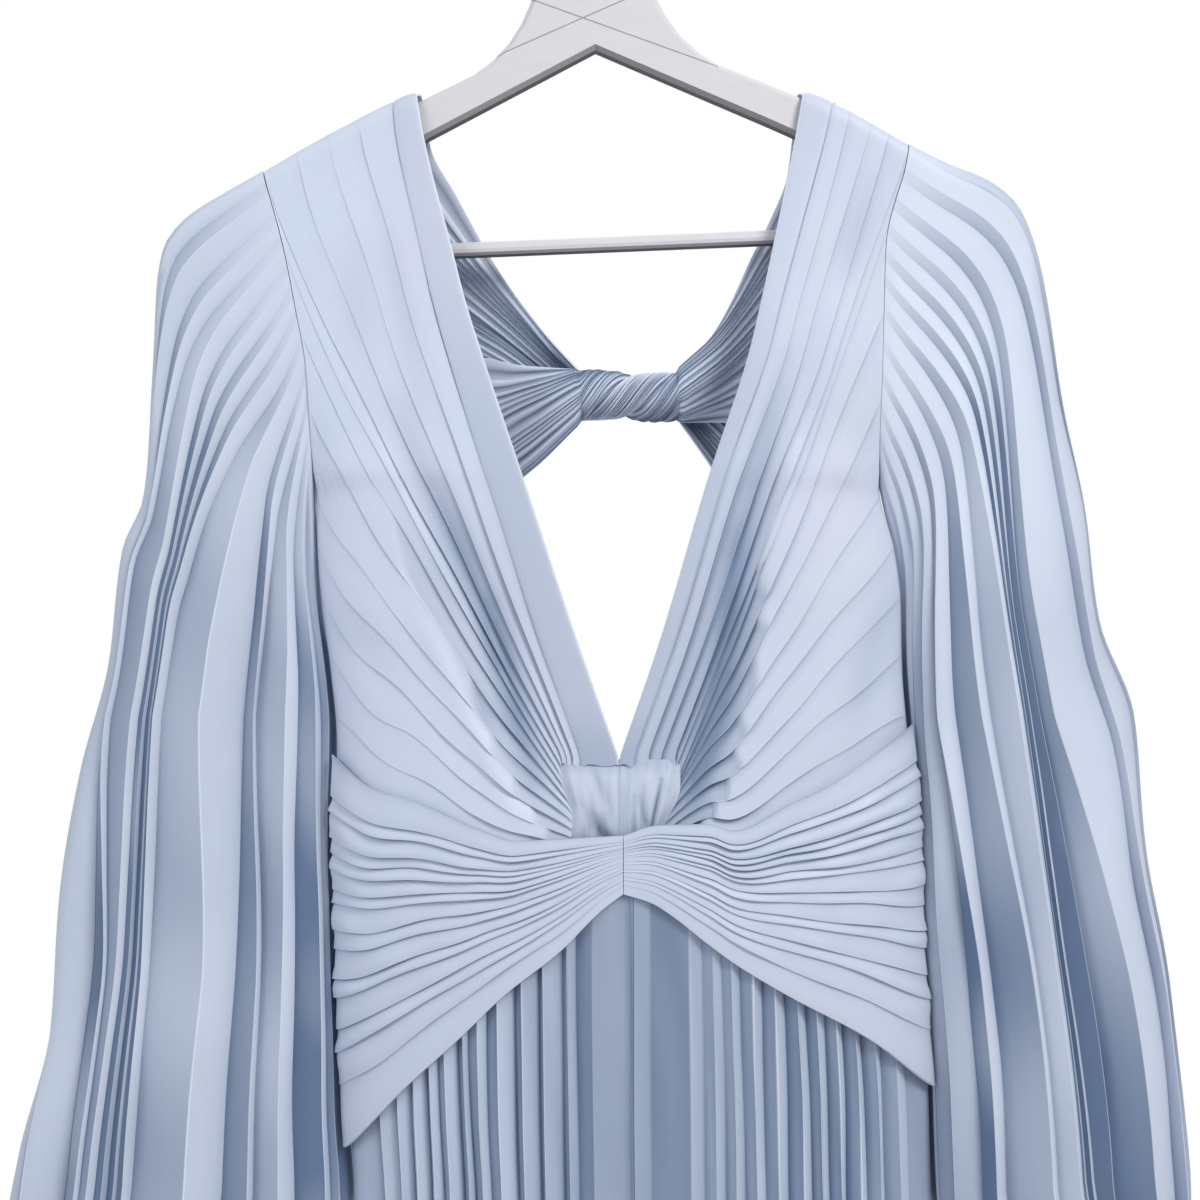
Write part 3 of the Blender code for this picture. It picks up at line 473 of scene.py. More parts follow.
def coons(start, end, low, high, s, t):
    """Blend four flat curves into a patch: low and high run from start to end, at s = 0 and s = 1."""
    s, t = np.broadcast_arrays(s, t)
    u, v = s[..., None], t[..., None]
    first, last = ends(start)
    near, far = ends(end)
    corners = (first * (1 - u) + last * u) * (1 - v) + (near * (1 - u) + far * u) * v
    return low(t) * (1 - u) + high(t) * u + start(s) * (1 - v) + end(s) * v - corners


def pleat_columns(stops, steps):
    """Columns across a run of pleats: place, pleat number, and share of the way across its pleat."""
    steps = np.asarray(steps)
    place = [a + (b - a) * steps for a, b in zip(stops, stops[1:])]
    count = len(stops) - 1
    number = np.repeat(np.arange(count), len(steps))
    share = np.tile(steps, count)
    return np.append(np.concatenate(place), stops[-1]), np.append(number, count - 1), np.append(share, 1.0)


def lapped(share):
    """Height of a lapped knife pleat, which climbs from under its neighbour to its own crisp edge."""
    climb = 1 - (1 - np.clip(share / EDGE, 0, 1)) ** 1.15
    return np.where(share > 0.99, 0.0, climb)


def pressed(step):
    """Depth of a pressed fold: two flat faces, barely bowed, between crisp edges."""
    face = 1 - np.abs(2 * step - 1)
    return face - 0.08 * np.sin(math.pi * face)


def folded_share(step, valley):
    """Share of the way across a fold whose inner edge lies at valley."""
    return np.where(step < 0.5, valley * 2 * step, valley + (1 - valley) * (2 * step - 1))


def rumple(points, seed, size, height):
    """Soft unevenness of hanging cloth."""
    x, y, z = points[..., 0], points[..., 1], points[..., 2]
    total = 0.0
    for k in range(5):
        turn = seed * 1.3 + k * 2.1
        wave = 2 * math.pi / (size * (1 + 0.37 * k))
        total = total + np.sin((x * math.cos(turn) + 0.6 * z * math.sin(turn) + 0.5 * y) * wave + seed + k)
    return height * total / 3


def creases(points, table):
    """Height of listed creases at each point of a piece, by its front view."""
    x, z = points[..., 0], points[..., 2]
    height = np.zeros_like(x)
    for (x0, z0), (x1, z1), width, rise in table:
        run_x, run_z = x1 - x0, z1 - z0
        along = np.clip(((x - x0) * run_x + (z - z0) * run_z) / (run_x ** 2 + run_z ** 2), 0, 1)
        gap = np.hypot(x - x0 - along * run_x, z - z0 - along * run_z)
        height += rise * np.exp(-((gap / width) ** 2)) * np.sin(math.pi * (0.12 + 0.76 * along))
    return height


def grid_normals(points, closed):
    """Directions across a grid of points, square to its rows and columns."""
    if closed:
        around = np.roll(points, -1, axis=1) - np.roll(points, 1, axis=1)
    else:
        around = np.gradient(points, axis=1)
    normals = np.cross(around, np.gradient(points, axis=0))
    return normals / np.maximum(np.linalg.norm(normals, axis=-1, keepdims=True), 1e-9)


CREASE_ANGLE = math.radians(32)


def cloth_faces(rows, columns, closed):
    """Corner numbers of a cloth's faces: both sides of the grid and the strips along its edges."""
    offset = rows * columns
    spans = np.arange(columns if closed else columns - 1)

    def quads(a, b, c, d):
        """Faces with the given corners."""
        return np.stack([np.ravel(corner) for corner in (a, b, c, d)], axis=1)

    down = np.arange(rows - 1)[:, None] * columns
    a, b = down + spans, down + (spans + 1) % columns
    sets = [quads(a, b, b + columns, a + columns), quads(a, a + columns, b + columns, b) + offset]
    a, b = spans, (spans + 1) % columns
    sets.append(quads(a, a + offset, b + offset, b))
    last = (rows - 1) * columns
    sets.append(quads(a, b, b + offset, a + offset) + last)
    if not closed:
        a = down
        sets.append(quads(a, a + columns, a + columns + offset, a + offset))
        a = down + columns - 1
        sets.append(quads(a, a + offset, a + columns + offset, a + columns))
    return np.concatenate(sets)


def make_cloth(name, outer, inner, fold, edge=None, closed=False):
    """Join two grids of points into a thin closed cloth, with the painted shade of its troughs and the
    painted highlight of its crisp edges for the satin.
    """
    points = np.concatenate([outer.reshape(-1, 3), inner.reshape(-1, 3)]) * MM
    faces = cloth_faces(*outer.shape[:2], closed)
    corners = points[faces]
    volume = sum(
        np.einsum("ij,ij->", corners[:, 0], np.cross(corners[:, k], corners[:, k + 1])) for k in (1, 2))
    if volume < 0:
        faces = faces[:, ::-1]
    mesh = bpy.data.meshes.new(name)
    mesh.from_pydata(points.tolist(), [], faces.tolist())
    mesh.shade_smooth()
    mesh.set_sharp_from_angle(angle=CREASE_ANGLE)
    edge = np.zeros_like(fold) if edge is None else edge
    for word, values in (("fold", fold), ("edge", edge)):
        kept = mesh.attributes.new(word, "FLOAT", "POINT")
        values = np.broadcast_to(values, outer.shape[:2])
        kept.data.foreach_set("value", np.tile(np.clip(values, 0, 1).ravel(), 2).astype(np.float32))
    piece = bpy.data.objects.new(name, mesh)
    bpy.context.scene.collection.objects.link(piece)
    return piece


def make_body_cloth(name, xz, side, relief, fold, edge=None, lift=0.0, table=(), seed=0.0):
    """Make a cloth piece that follows the body at flat points, with its pleats, creases and unevenness."""
    points, normals = body_surface(xz, side)
    laid = creases(points, table)
    height = lift + relief + laid + rumple(points, seed, 46.0, 0.35)
    # Painted shade in the hollows of the creases.
    fold = np.clip(fold + np.clip(-laid / 7.0, 0, 0.6), 0, 1)
    outer = keep_side(points + normals * height[..., None], side)
    inner = keep_side(points + normals * (height - CLOTH)[..., None], side)
    return make_cloth(name, outer, inner, fold, edge)


# Patterns of the front

# Shares of a front panel's pleats that start on the shoulder, and on the shoulder and armhole together
SHOULDER_SHARE = 0.29
ARMHOLE_SHARE = 0.57
FRONT_STOPS = np.concatenate([
    np.linspace(0, SHOULDER_SHARE, 5)[:-1],
    np.linspace(SHOULDER_SHARE, ARMHOLE_SHARE, 5)[:-1],
    np.linspace(ARMHOLE_SHARE, 1, 6),
])
FRONT_FOOT_Z = -531.0

# Share of the pleats that end on the shelf, and levels between which the others gather beside the insert
TUCK_SHARE = 0.22
TUCK_Z = -546.0
GATHER_Z = -575.0


def shoulder_tip(left):
    """Across and level of the shoulder seam's outer end."""
    return SHOULDERS[0 if left else -1]


def armhole_edge(z, left):
    """Outer edge of the body at a level, running out to the shoulder point at the top."""
    side = left_side if left else right_side
    tip_x, tip_z = shoulder_tip(left)
    top_z = SIDES[0][0]
    z = np.asarray(z, float)
    if tip_z <= top_z:
        return np.where(z > top_z, tip_x, side(z))
    above = side(top_z) + (tip_x - side(top_z)) * (z - top_z) / (tip_z - top_z)
    return np.where(z > top_z, above, side(z))


def shoulder_and_side(start_x, left, stops):
    """Boundary from the neck along the shoulder, then down the body's edge through (share, level) stops."""
    tip_x = shoulder_tip(left)[0]
    turn = stops[0][0]

    def point(s):
        x = start_x + (tip_x - start_x) * s / turn
        z = np.interp(s, *zip(*stops))
        on_shoulder = s <= turn
        edge_x = np.where(on_shoulder, x, armhole_edge(z, left))
        return flat(edge_x, np.where(on_shoulder, shoulder_level(x), z))

    return point


def shelf_level(x):
    """Uneven level at which the neck bands and fronts are sewn to the top of the insert."""
    return SHELF_Z + 0.9 * np.sin(0.42 * x) + 0.5 * np.sin(0.9 * x + 1)


def band_edge(z, left):
    """Line where a neck band meets its front panel."""
    return neck_left(z) - band_left(z) if left else neck_right(z) + band_right(z)


def front_start(left):
    """Outer boundary of a front panel: along the shoulder, down the armhole and down the side."""
    start_x = float(band_edge(SHOULDER_Z, left)) + (-SEAM if left else SEAM)
    stops = [(SHOULDER_SHARE, shoulder_tip(left)[1]), (ARMHOLE_SHARE, UNDERARM_Z), (1, FRONT_FOOT_Z)]
    return shoulder_and_side(start_x, left, stops)


def front_edge(left):
    """Boundary of a front panel along its neck band, from the shoulder to the shelf."""
    sign = -1 if left else 1
    top = float(ends(front_start(left))[0][1])
    foot = float(shelf_level(float(band_edge(SHELF_Z, left)))) - SEAM

    def point(t):
        z = top + (foot - top) * t
        return flat(band_edge(z, left) + sign * SEAM, z)

    return point


# Curved sides of the insert: level, across
INSERT_EDGE_LEFT = [(-526, -13.5), (-538, -10.5), (-548, -7.5), (-575, -8.5)]
INSERT_EDGE_RIGHT = [(-526, 49.0), (-538, 49.0), (-547, 46.5), (-556, 41.5), (-575, 37.0)]


def insert_edge(z, left):
    """Line where the centre insert meets a front panel."""
    return smooth_through(INSERT_EDGE_LEFT if left else INSERT_EDGE_RIGHT)(z)


def front_end(left):
    """Inner boundary of a front panel: along the shelf, then down the insert where the pleats gather."""
    start_x = float(band_edge(SHELF_Z, left))
    corner_x = float(insert_edge(SHELF_Z, left))
    corner_z = float(shelf_level(corner_x)) - SEAM

    def point(s):
        along_x = start_x + (corner_x - start_x) * s / TUCK_SHARE
        down = 4 * (s - TUCK_SHARE) / (1 - TUCK_SHARE)
        tucked = (TUCK_Z - SHELF_Z) * np.minimum(1.0, down)
        gathered = (GATHER_Z - TUCK_Z) * np.maximum(0.0, (down - 1) / 3)
        z = corner_z + tucked + gathered
        on_shelf = s <= TUCK_SHARE
        x = np.where(on_shelf, along_x, insert_edge(z, left)) + (-SEAM if left else SEAM)
        return flat(x, np.where(on_shelf, shelf_level(along_x) - SEAM, z))

    return point


def front_foot(left):
    """Lowest pleat of a front panel, which runs just under the sash's top edge."""
    points = list(reversed(SASH_TOP_LEFT[1:-1] if left else SASH_TOP_RIGHT[1:-1]))
    start = ends(front_start(left))[1]
    end = ends(front_end(left))[1]
    lowered = [(x, z - 8) for x, z in points if abs(x - CENTRE_X) > abs(end[0] - CENTRE_X) + 4]
    return path_through([tuple(start)] + lowered + [tuple(end)])


def hanging_rows(count):
    """Rows of a piece that hangs from a seam, close together where it rolls over the seam."""
    return np.concatenate([[0, 0.002, 0.005, 0.009, 0.014, 0.02, 0.028], np.linspace(0.04, 1, count)])


# Share of a pleat's width where its crisp edge lies, and columns across a pleat
EDGE = 0.975
PLEAT_STEPS = (0, 0.03, 0.1, 0.22, 0.38, 0.56, 0.74, 0.88, 0.95, EDGE)

# Columns of the plain part of a front panel, from its lowest pleat down to the waist seam
PLAIN_COLUMNS = 6


def wander(stops, number, share, t, seed):
    """Places of columns whose pleat edges stray a little along their length."""
    widths = np.diff(stops)
    inside = np.ones(len(stops))
    inside[0] = inside[-1] = 0
    room = np.minimum(np.append(widths, widths[-1]), np.insert(widths, 0, widths[0])) * inside
    count = np.arange(len(stops))[None, :]
    moved = stops[None, :] + 0.1 * room[None, :] * drift(t, seed + count * 1.9, (0.7, 1.6, 2.9))
    return moved[:, number] + (moved[:, number + 1] - moved[:, number]) * share[None, :]


def gathered_depth(x, z, share, left):
    """How far a point lies within the deeper gathers beside the neck, hooked at each pleat, from 0 to 1."""
    sign = -1 if left else 1
    ridge = RIDGE_LEFT if left else RIDGE_RIGHT
    inwards = sign * (smooth_through(ridge)(z) - x) + 6.0 * (share - 0.5)
    top = ridge[0][0]
    to_band = np.abs(x - band_edge(np.maximum(z, SHELF_Z), left))
    return ease(-0.8, 2.4, inwards) * ease(top + 20, top - 80, z) * (0.4 + 0.6 * ease(0, 16, to_band))


def front_panel(name, left):
    """Front panel: pleats run from the shoulder, armhole and side to the gathers beside the insert."""
    _, number, share = pleat_columns(FRONT_STOPS, PLEAT_STEPS)
    rows = hanging_rows(84)
    t = rows[:, None]
    place = wander(FRONT_STOPS, number, share, t, 2.0 if left else 5.0)
    xz = coons(front_start(left), front_end(left), front_edge(left), front_foot(left), place, t)
    last_x, last_z = xz[:, -1:, 0], xz[:, -1:, 1]
    drops = np.linspace(0, 1, PLAIN_COLUMNS + 1)[1:]
    below = flat(last_x, last_z + (WAIST_Z + SEAM / 2 - last_z) * drops)
    depth = 1.7 + 0.5 * np.sin(number * 2.1 + (0 if left else 1.3))
    depth = np.where(number == 0, 0.7, depth)[None, :]
    settle = ease(0.0, 0.06, t) * (0.4 + 1.1 * ease(0.25, 0.85, t)) * (1 - 0.4 * ease(0.94, 1.0, t))
    settle = settle * (0.75 if left else 1.0)
    uneven = np.clip(1 + 0.35 * drift(t, 3.0 + number[None, :] * 0.7), 0.45, 1.5)
    carve = (1 - lapped(share))[None, :] * depth * settle * uneven
    plain = np.zeros((len(rows), PLAIN_COLUMNS))
    relief = np.concatenate([-carve, plain], axis=1)
    # Painted shade: a dark line where each pleat comes out from under its neighbour's crisp edge, then a
    # grey face, lighter on the left front, and deepening into the gathers beside the neck; the plain part
    # under the sash is painted in shade.
    shade = np.interp(share, (0, 0.03, 0.07, 0.24, 0.34, 1), (0.6, 0.45, 0.16, 0.14, 0.01, 0.0))[None, :]
    shade = shade * np.clip(0.3 + 0.6 * settle * uneven, 0, 1) * (0.7 if left else 1.2)
    sunk = gathered_depth(xz[..., 0], xz[..., 1], share[None, :], left)
    shade_streaks = np.interp(share, (0, 0.06, 0.3, 0.5, 1), (1.25, 1.15, 1.05, 0.65, 0.75))[None, :]
    shade = shade + sunk * shade_streaks * (0.42 if left else 0.62)
    relief = relief - np.concatenate([sunk * (1.8 if left else 2.6), plain], axis=1)
    fold = np.concatenate([shade, plain + 0.4], axis=1)
    # Painted highlight along each crisp pleat edge.
    edge = np.isclose(share, EDGE)[None, :] * (0.4 + 0.6 * settle)
    edge = np.concatenate([edge, plain], axis=1)
    return make_body_cloth(
        name, np.concatenate([xz, below], axis=1), -1, relief, fold, edge,
        table=CREASES_LEFT if left else CREASES_RIGHT, seed=1.0 if left else 2.0)


# Levels at which a neck band's inner and outer edge reach the shoulder seam
NECK_TOP_Z = -146.0
BAND_TOP_Z = -148.0


def neck_band(name, left):
    """Folded band along one edge of the neck, from shoulder seam to shelf, with its turning underneath."""
    neck = neck_left if left else neck_right
    sign = -1 if left else 1
    s = np.array([0, 0.03, 0.08, 0.2, 0.4, 0.6, 0.8, 0.92, 0.97, 1.0, 1.0, 1.0])[None, :]
    turned = np.array([0.0] * 10 + [0.9, 2.2])[None, :]
    t = hanging_rows(80)[:, None]
    neck_x = neck(NECK_TOP_Z)
    top = shoulder_level(neck_x + (band_edge(BAND_TOP_Z, left) - neck_x) * s)
    foot = shelf_level(neck(SHELF_Z) + (band_edge(SHELF_Z, left) - neck(SHELF_Z)) * s) - SEAM
    z = top + (foot - top) * t
    x = neck(z) + (band_edge(z, left) - neck(z)) * s + sign * turned
    rounded = 1 - np.abs(2 * np.clip(s, 0, 1) - 1) ** 8
    relief = -0.7 + 0.7 * rounded + 0.15 * drift(t * 1.5, 1.0 if left else 4.0) * rounded
    relief = relief - 0.9 * turned * ease(0.0, 0.03, t)
    # Painted highlight along the band's folded edge; painted shade on its turning underneath, over the whole
    # band, more lower down and most at the shelf.
    edge = np.where(s < 0.05, 0.6, 0.0) * np.ones_like(z)
    shade = turned / 3 + 0.1 + 0.2 * ease(0.2, 0.6, t) + 0.2 * ease(0.9, 1.0, t)
    return make_body_cloth(name, flat(x, z), -1, relief * np.ones_like(z), shade, edge, seed=3.0)


def insert_half(name, left):
    """Half of the small gathered insert, which puffs out under the neck and runs on under the fronts."""
    sign = -1 if left else 1
    centre = CENTRE_X + sign * 0.05
    s = np.linspace(0, 1, 60)[None, :]
    t = np.linspace(0, 1, 44)[:, None]
    z = SHELF_Z + 3 + (WAIST_Z - SHELF_Z - 3 + 3 * SEAM) * t
    x = centre + (insert_edge(z, left) + sign * 3 - centre) * s
    shown = np.clip((SHELF_Z - z) / 42, 0, 1)
    puff = 2.2 * np.sin(math.pi * shown) ** 0.7 * (1 - 0.8 * s ** 2)
    seed = 2.0 if left else 5.0
    stray = 0.25 * drift(0.6 * t, seed)
    gathers = np.sin(2 * math.pi * (2.6 * s + stray) + seed)
    gathers = gathers + 0.5 * np.sin(2 * math.pi * (5.7 * s - stray) + 1)
    carve = (0.6 + 0.4 * gathers) * (0.35 + 0.9 * shown) * ease(0.0, 0.12, s)
    # Painted shade in the hollows of the gathers, where it tucks under the shelf, over its lower half and
    # beside the centre seam.
    folds = 0.14 * np.clip(-gathers, 0, 1) * (0.4 + 0.6 * shown) + 0.35 * (1 - ease(0.02, 0.14, shown))
    tuck = 2.4 * (1 - ease(0.0, 0.1, t)) + 2.4 * ease(0.8, 1.0, s) + 0.6 * (1 - ease(0.0, 0.04, s))
    shade = 0.06 + folds + 0.25 * ease(0.5, 1.0, shown) + 0.3 * (1 - ease(0.0, 0.05, s))
    return make_body_cloth(
        name, flat(x, z + 0 * s), -1, puff - carve - tuck - 0.3, shade, table=CREASES_INSERT, seed=seed)


# Sash

def sash_half(name, left):
    """Half of the sash: pleats fan out from the centre seam and lie on the front panel and the skirt."""
    top = path_through(SASH_TOP_LEFT if left else SASH_TOP_RIGHT)
    low = path_through(SASH_LOW_LEFT if left else SASH_LOW_RIGHT)
    start_top, end_top = ends(top)
    start_low, end_low = ends(low)

    def centre(s):
        """Edge along the centre seam."""
        return start_top * (1 - s[..., None]) + start_low * s[..., None]

    def side(s):
        """Edge along the side seam."""
        z = end_top[1] + (end_low[1] - end_top[1]) * s
        return flat(left_side(z) + 5.0 if left else right_side(z) - 5.0, z)

    stops = shares([row[0] for row in SASH_PLEATS])
    _, number, share = pleat_columns(stops, PLEAT_STEPS)
    t = np.linspace(0, 1, 100)[:, None]
    place = wander(stops, number, share, t, 4.0 if left else 8.0)
    firm = np.array([row[1 if left else 2] for row in SASH_PLEATS])[number][None, :]
    xz = coons(centre, side, top, low, place, t)
    rise = (0.35 + 1.7 * ease(0.0, 0.4, t)) * (1 - 0.3 * ease(0.93, 1.0, t))
    rise = rise * np.clip(1 + 0.4 * drift(t, 2.0 + number[None, :] * 0.9), 0.4, 1.5)
    rise = rise * (0.35 + 0.6 * firm)
    carve = lapped(share)[None, :] * rise
    over_side = 1.5 * ease(0.3, 1.0, t)
    ruffle = 1.3 * ease(0.84, 1.0, t) * np.sin(number[None, :] * 2.3 + share[None, :] * 3.0 + 9 * t)
    relief = over_side + carve + np.maximum(0, ruffle) + 0.4
    # Painted highlight along each crisp edge; painted shade as a dark line where each pleat comes out under
    # its neighbour, fading across it, stronger on the right half.
    edge = np.isclose(share, EDGE)[None, :] * (0.5 + 0 * t)
    shade = np.interp(share, (0, 0.03, 0.12, 0.35, 0.6, 0.9, 1), (0.75, 0.55, 0.2, 0.06, 0.0, 0.22, 0.2))
    shade = shade[None, :] * firm * (1 + 0.3 * drift(t, number[None, :] * 1.3))
    shade = shade * np.clip(0.5 + 0.5 * rise, 0, 1)
    shade = shade * (1.05 if left else 1.3) + (0.0 if left else 0.05)
    return make_body_cloth(
        name, xz, -1, relief, shade * ease(-0.05, 0.1, t), edge,
        lift=SASH_LIFT + CLOTH_WALL, seed=6.0 if left else 9.0)


# Skirt

# Levels from which the pleats open towards the hem, and the centre seam drifts towards its middle
SKIRT_OPEN_Z = -700.0
SEAM_DRIFT_Z = -650.0

# Columns across an accordion pleat
FOLD_STEPS = (0, 0.03, 0.1, 0.25, 0.4, 0.47, 0.5, 0.53, 0.6, 0.75, 0.9, 0.97)

# Painted shade across a skirt pleat: place, and share of the way from the lit face's tone to the tone of the
# face turned from the light
TURNING = [
    (0, -0.08), (0.1, 0.0), (0.25, 0.03), (0.4, 0.2), (0.5, 1.15), (0.53, 1.05), (0.75, 0.85), (0.97, 0.92),
    (1, 0.7),
]


def skirt_depth(z):
    """Depth of the skirt's pleats, pressed flat at the waist and opening towards the hem."""
    return 0.8 + 2.4 * ease(WAIST_Z, WAIST_Z - 60, z) + 2.8 * ease(SKIRT_OPEN_Z, HEM_Z, z)


def centre_line(z):
    """Centre front seam of the skirt, drifting towards the middle of the hem."""
    middle = (left_side(z) + right_side(z)) / 2
    return SKIRT_SEAM_X + (middle - SKIRT_SEAM_X) * ease(SEAM_DRIFT_Z, HEM_Z, z)



def skirt_panel(name, pleats, start_x, end_x, side, seed):
    """Skirt panel of accordion pleats, each with its own width, lean and painted shade."""
    widths, leans, pale, dark = [np.array(values, float) for values in zip(*pleats)]
    stops = shares(widths)
    _, number, step = pleat_columns(stops, FOLD_STEPS)
    share = folded_share(step, leans[number])
    place = stops[number] + (stops[number + 1] - stops[number]) * share
    crisp = np.clip((dark - pale) / 0.75, 0.25, 1.0)[number][None, :]
    upper = np.linspace(WAIST_Z - SEAM / 2, SKIRT_OPEN_Z, 22)
    lower = np.linspace(SKIRT_OPEN_Z - 12, HEM_Z, 44)
    z = np.concatenate([upper, lower])[:, None]
    start, end = start_x(z), end_x(z)
    inside = np.sin(math.pi * np.clip(place, 0, 1))[None, :]
    sway = 0.005 * inside * drift((z - WAIST_Z) / 700, seed + number[None, :] * 0.35)
    x = start + (end - start) * (place[None, :] + sway)
    uneven = np.clip(1 + 0.3 * drift((z - WAIST_Z) / 900, seed + number[None, :]), 0.6, 1.3)
    carve = pressed(step)[None, :] * 1.45 * skirt_depth(z) * crisp * uneven
    # Painted highlight along each pleat's outer edge; painted shade on each face by how it turns from the
    # light.
    edge = np.where(step == 0, 0.9, 0.0)[None, :] * crisp ** 2 + 0 * z
    turned = np.interp(step, *zip(*TURNING))
    shade = (pale[number] + (dark - pale)[number] * turned)[None, :]
    shade = shade + 0.07 * drift((z - WAIST_Z) / 500, seed + 1.3 * number[None, :] + 2.0 * step[None, :])
    return make_body_cloth(name, flat(x, z + 0 * x), side, -carve, shade, edge, seed=seed)


def left_of_centre(z):
    """Edge of the left skirt front along the centre seam."""
    return centre_line(z) - SEAM / 2


def right_of_centre(z):
    """Edge of the right skirt front along the centre seam."""
    return centre_line(z) + SEAM / 2


# Sleeves

# Columns across a pressed face, and shares of the way down where the smoothed edge meets the bulging one
FACE_STEPS = (0, 0.04, 0.3, 0.7, 0.97)
CALM_KNOTS = (0, 0.16, 0.38, 0.62, 0.85, 0.93, 0.97, 1)

# Levels at which a sleeve's inner edge follows the body's side, and the level below which it swings free
BESIDE_LEVELS = np.arange(UNDERARM_Z, -780, -15)
BESIDE_FOOT_Z = -790.0

# Face at which the pleats of each sleeve are stacked deepest
STACK_LEFT = 9.5
STACK_RIGHT = 9.0

# Shares of the way down for the rows of a piece close to its shoulder seam
SEAM_ROWS = (0, 0.004, 0.01, 0.018, 0.028, 0.04)


def calmed(path):
    """Return a curve that follows a path without its small bulges."""
    return curve_through([(u, *path(np.array(u))) for u in CALM_KNOTS])


def face_places(faces, level, hung, number, step):
    """Places of columns across a sleeve whose faces change width with the level, and each fold's width."""
    armhole = shares([face[1] for face in faces])
    lower = [shares([face[k] for face in faces]) for k in range(2, len(faces[0]))]
    curves = [smooth_through(list(zip(FACE_LEVELS, edges))) for edges in np.transpose(lower)]
    place, breadth = np.zeros(level.shape), np.zeros(level.shape)
    for j in range(len(faces)):
        own = number == j
        first = j - j % 2
        low, high, before, after = [
            armhole[k] + (curves[k](level[:, own]) - armhole[k]) * hung
            for k in (j, j + 1, first, first + 2)
        ]
        place[:, own] = low + (high - low) * step[own]
        breadth[:, own] = after - before
    return place, breadth


def sleeve(name, left):
    """Full pleated sleeve: each pressed face starts at the armhole seam and hangs to the cuff."""
    sign = -1 if left else 1
    faces = FACES_LEFT if left else FACES_RIGHT
    out_path = path_through(SLEEVE_OUT_LEFT if left else SLEEVE_OUT_RIGHT)
    beside = [(float(armhole_edge(z, left)) + sign * SEAM, float(z)) for z in BESIDE_LEVELS]
    in_path = path_through(beside + (SLEEVE_IN_END_LEFT if left else SLEEVE_IN_END_RIGHT))
    cuff_x = cuff_centre(left)
    tip = ends(out_path)[0]
    calm_path = calmed(out_path)

    def cap(s):
        """Edge in the armhole."""
        z = tip[1] + (UNDERARM_Z - tip[1]) * s
        return flat(armhole_edge(z, left) + sign * 0.25, z)

    def wrist(s):
        """Edge at the cuff."""
        return flat(cuff_x + sign * CUFF_HALF_WIDTH * np.cos(math.pi * s), CUFF_TOP_Z + 0 * s)

    def outside(v):
        """Outer edge without its small bulges."""
        return calm_path(v) + flat(sign * 2 * SEAM * (1 - v), 0 * v)

    def hang(s, v):
        """Flat points of the hanging sleeve, bulging along its outer edge."""
        bulge = (out_path(v) - calm_path(v)) * ((1 - s) ** 5)[..., None]
        return coons(cap, wrist, outside, in_path, s, v + 0 * s) + bulge

    v = np.concatenate([SEAM_ROWS, np.linspace(0.055, 0.97, 92), [0.978, 0.985, 0.991, 0.996, 1]])[:, None]
    _, number, step = pleat_columns(np.arange(len(faces) + 1), FACE_STEPS)
    z = tip[1] + (CUFF_TOP_Z - tip[1]) * (v + 0 * step)
    for _ in range(4):
        s, breadth = face_places(faces, z, ease(0.03, 0.36, v), number, step)
        z = hang(s, v)[..., 1]
    back = slice(-2, 0, -1)
    columns = s.shape[1]
    s, breadth = [np.concatenate([half, half[:, back]], axis=1) for half in (s, breadth)]
    number, step = [np.concatenate([half, half[back]]) for half in (number, step)]
    side = np.where(np.arange(s.shape[1]) < columns, -1, 1)[None, :]
    round_off = 0.5 - 0.5 * np.cos(math.pi * s)
    across = s + (round_off - s) * ease(0.85, 1.0, v)
    xz = hang(s, v)
    x, z = xz[..., 0], xz[..., 1]
    limit = armhole_edge(z, left) + sign * SEAM
    x = np.where((z > BESIDE_FOOT_Z) & (sign * x < sign * limit), limit, x)
    seam_z = cap(s)[..., 1]
    seam_y = np.where((s > 0) & (s < 1), body_depth(armhole_edge(seam_z, left), seam_z, -1), 0.0)
    section = np.sqrt(np.maximum(0.0, 1 - np.abs(2 * across - 1) ** SLEEVE_SQUARENESS))
    section = np.where(v >= 1, np.sin(math.pi * s), section)
    hung = ease(0.0, 0.3, v)
    y = seam_y * (1 - hung) + sleeve_depth(v) * section * hung
    drop = np.clip((out_path(v)[..., 1] - z) / SHOULDER_ROLL, 0, 1)
    over_arm = edge_gap(SHOULDER_Z) * np.sqrt(1 - (1 - drop) ** 2) * (1 - ease(0.14, 0.3, v))
    y = side * np.where(s < 0.5, np.maximum(y, over_arm), y)
    y = y + 8.0 * ease(0.75, 1.0, s) * ease(0.02, 0.15, v) * (1 - ease(0.9, 1.0, v))
    base = np.stack([x, y, z], axis=-1)
    facing = grid_normals(base, closed=True) * sign
    width = breadth * np.abs(outside(v)[..., 0] - in_path(v)[..., 0])
    fold_number = number // 2
    fold_seed = 1.3 + fold_number[None, :] * 1.1 + (0 if left else 7)
    uneven = np.clip(1 + 0.35 * drift(v, fold_seed), 0.5, 1.35)
    deep = np.minimum(1.5 * sleeve_pleat_depth(v) * uneven, 0.45 * width)
    deep = deep * (1 - 0.55 * np.abs(2 * across - 1) ** 5)
    downhill = np.where(number % 2 == 0, step, 1 - step)
    downhill = downhill - 0.08 * np.sin(math.pi * downhill)
    stack = STACK_LEFT if left else STACK_RIGHT
    near_stack = np.exp(-(((number + step - stack) / 2.4) ** 2))[None, :]
    sunk = 7.0 * near_stack * ease(0.3, 0.6, v) * (1 - ease(0.93, 1.0, v))
    carve = downhill[None, :] * deep + sunk
    soft = rumple(base, 11.0 if left else 14.0, 60.0, 0.7) * ease(0.0, 0.1, v) * (1 - ease(0.9, 1.0, v))
    outer = base - facing * (carve - soft)[..., None]
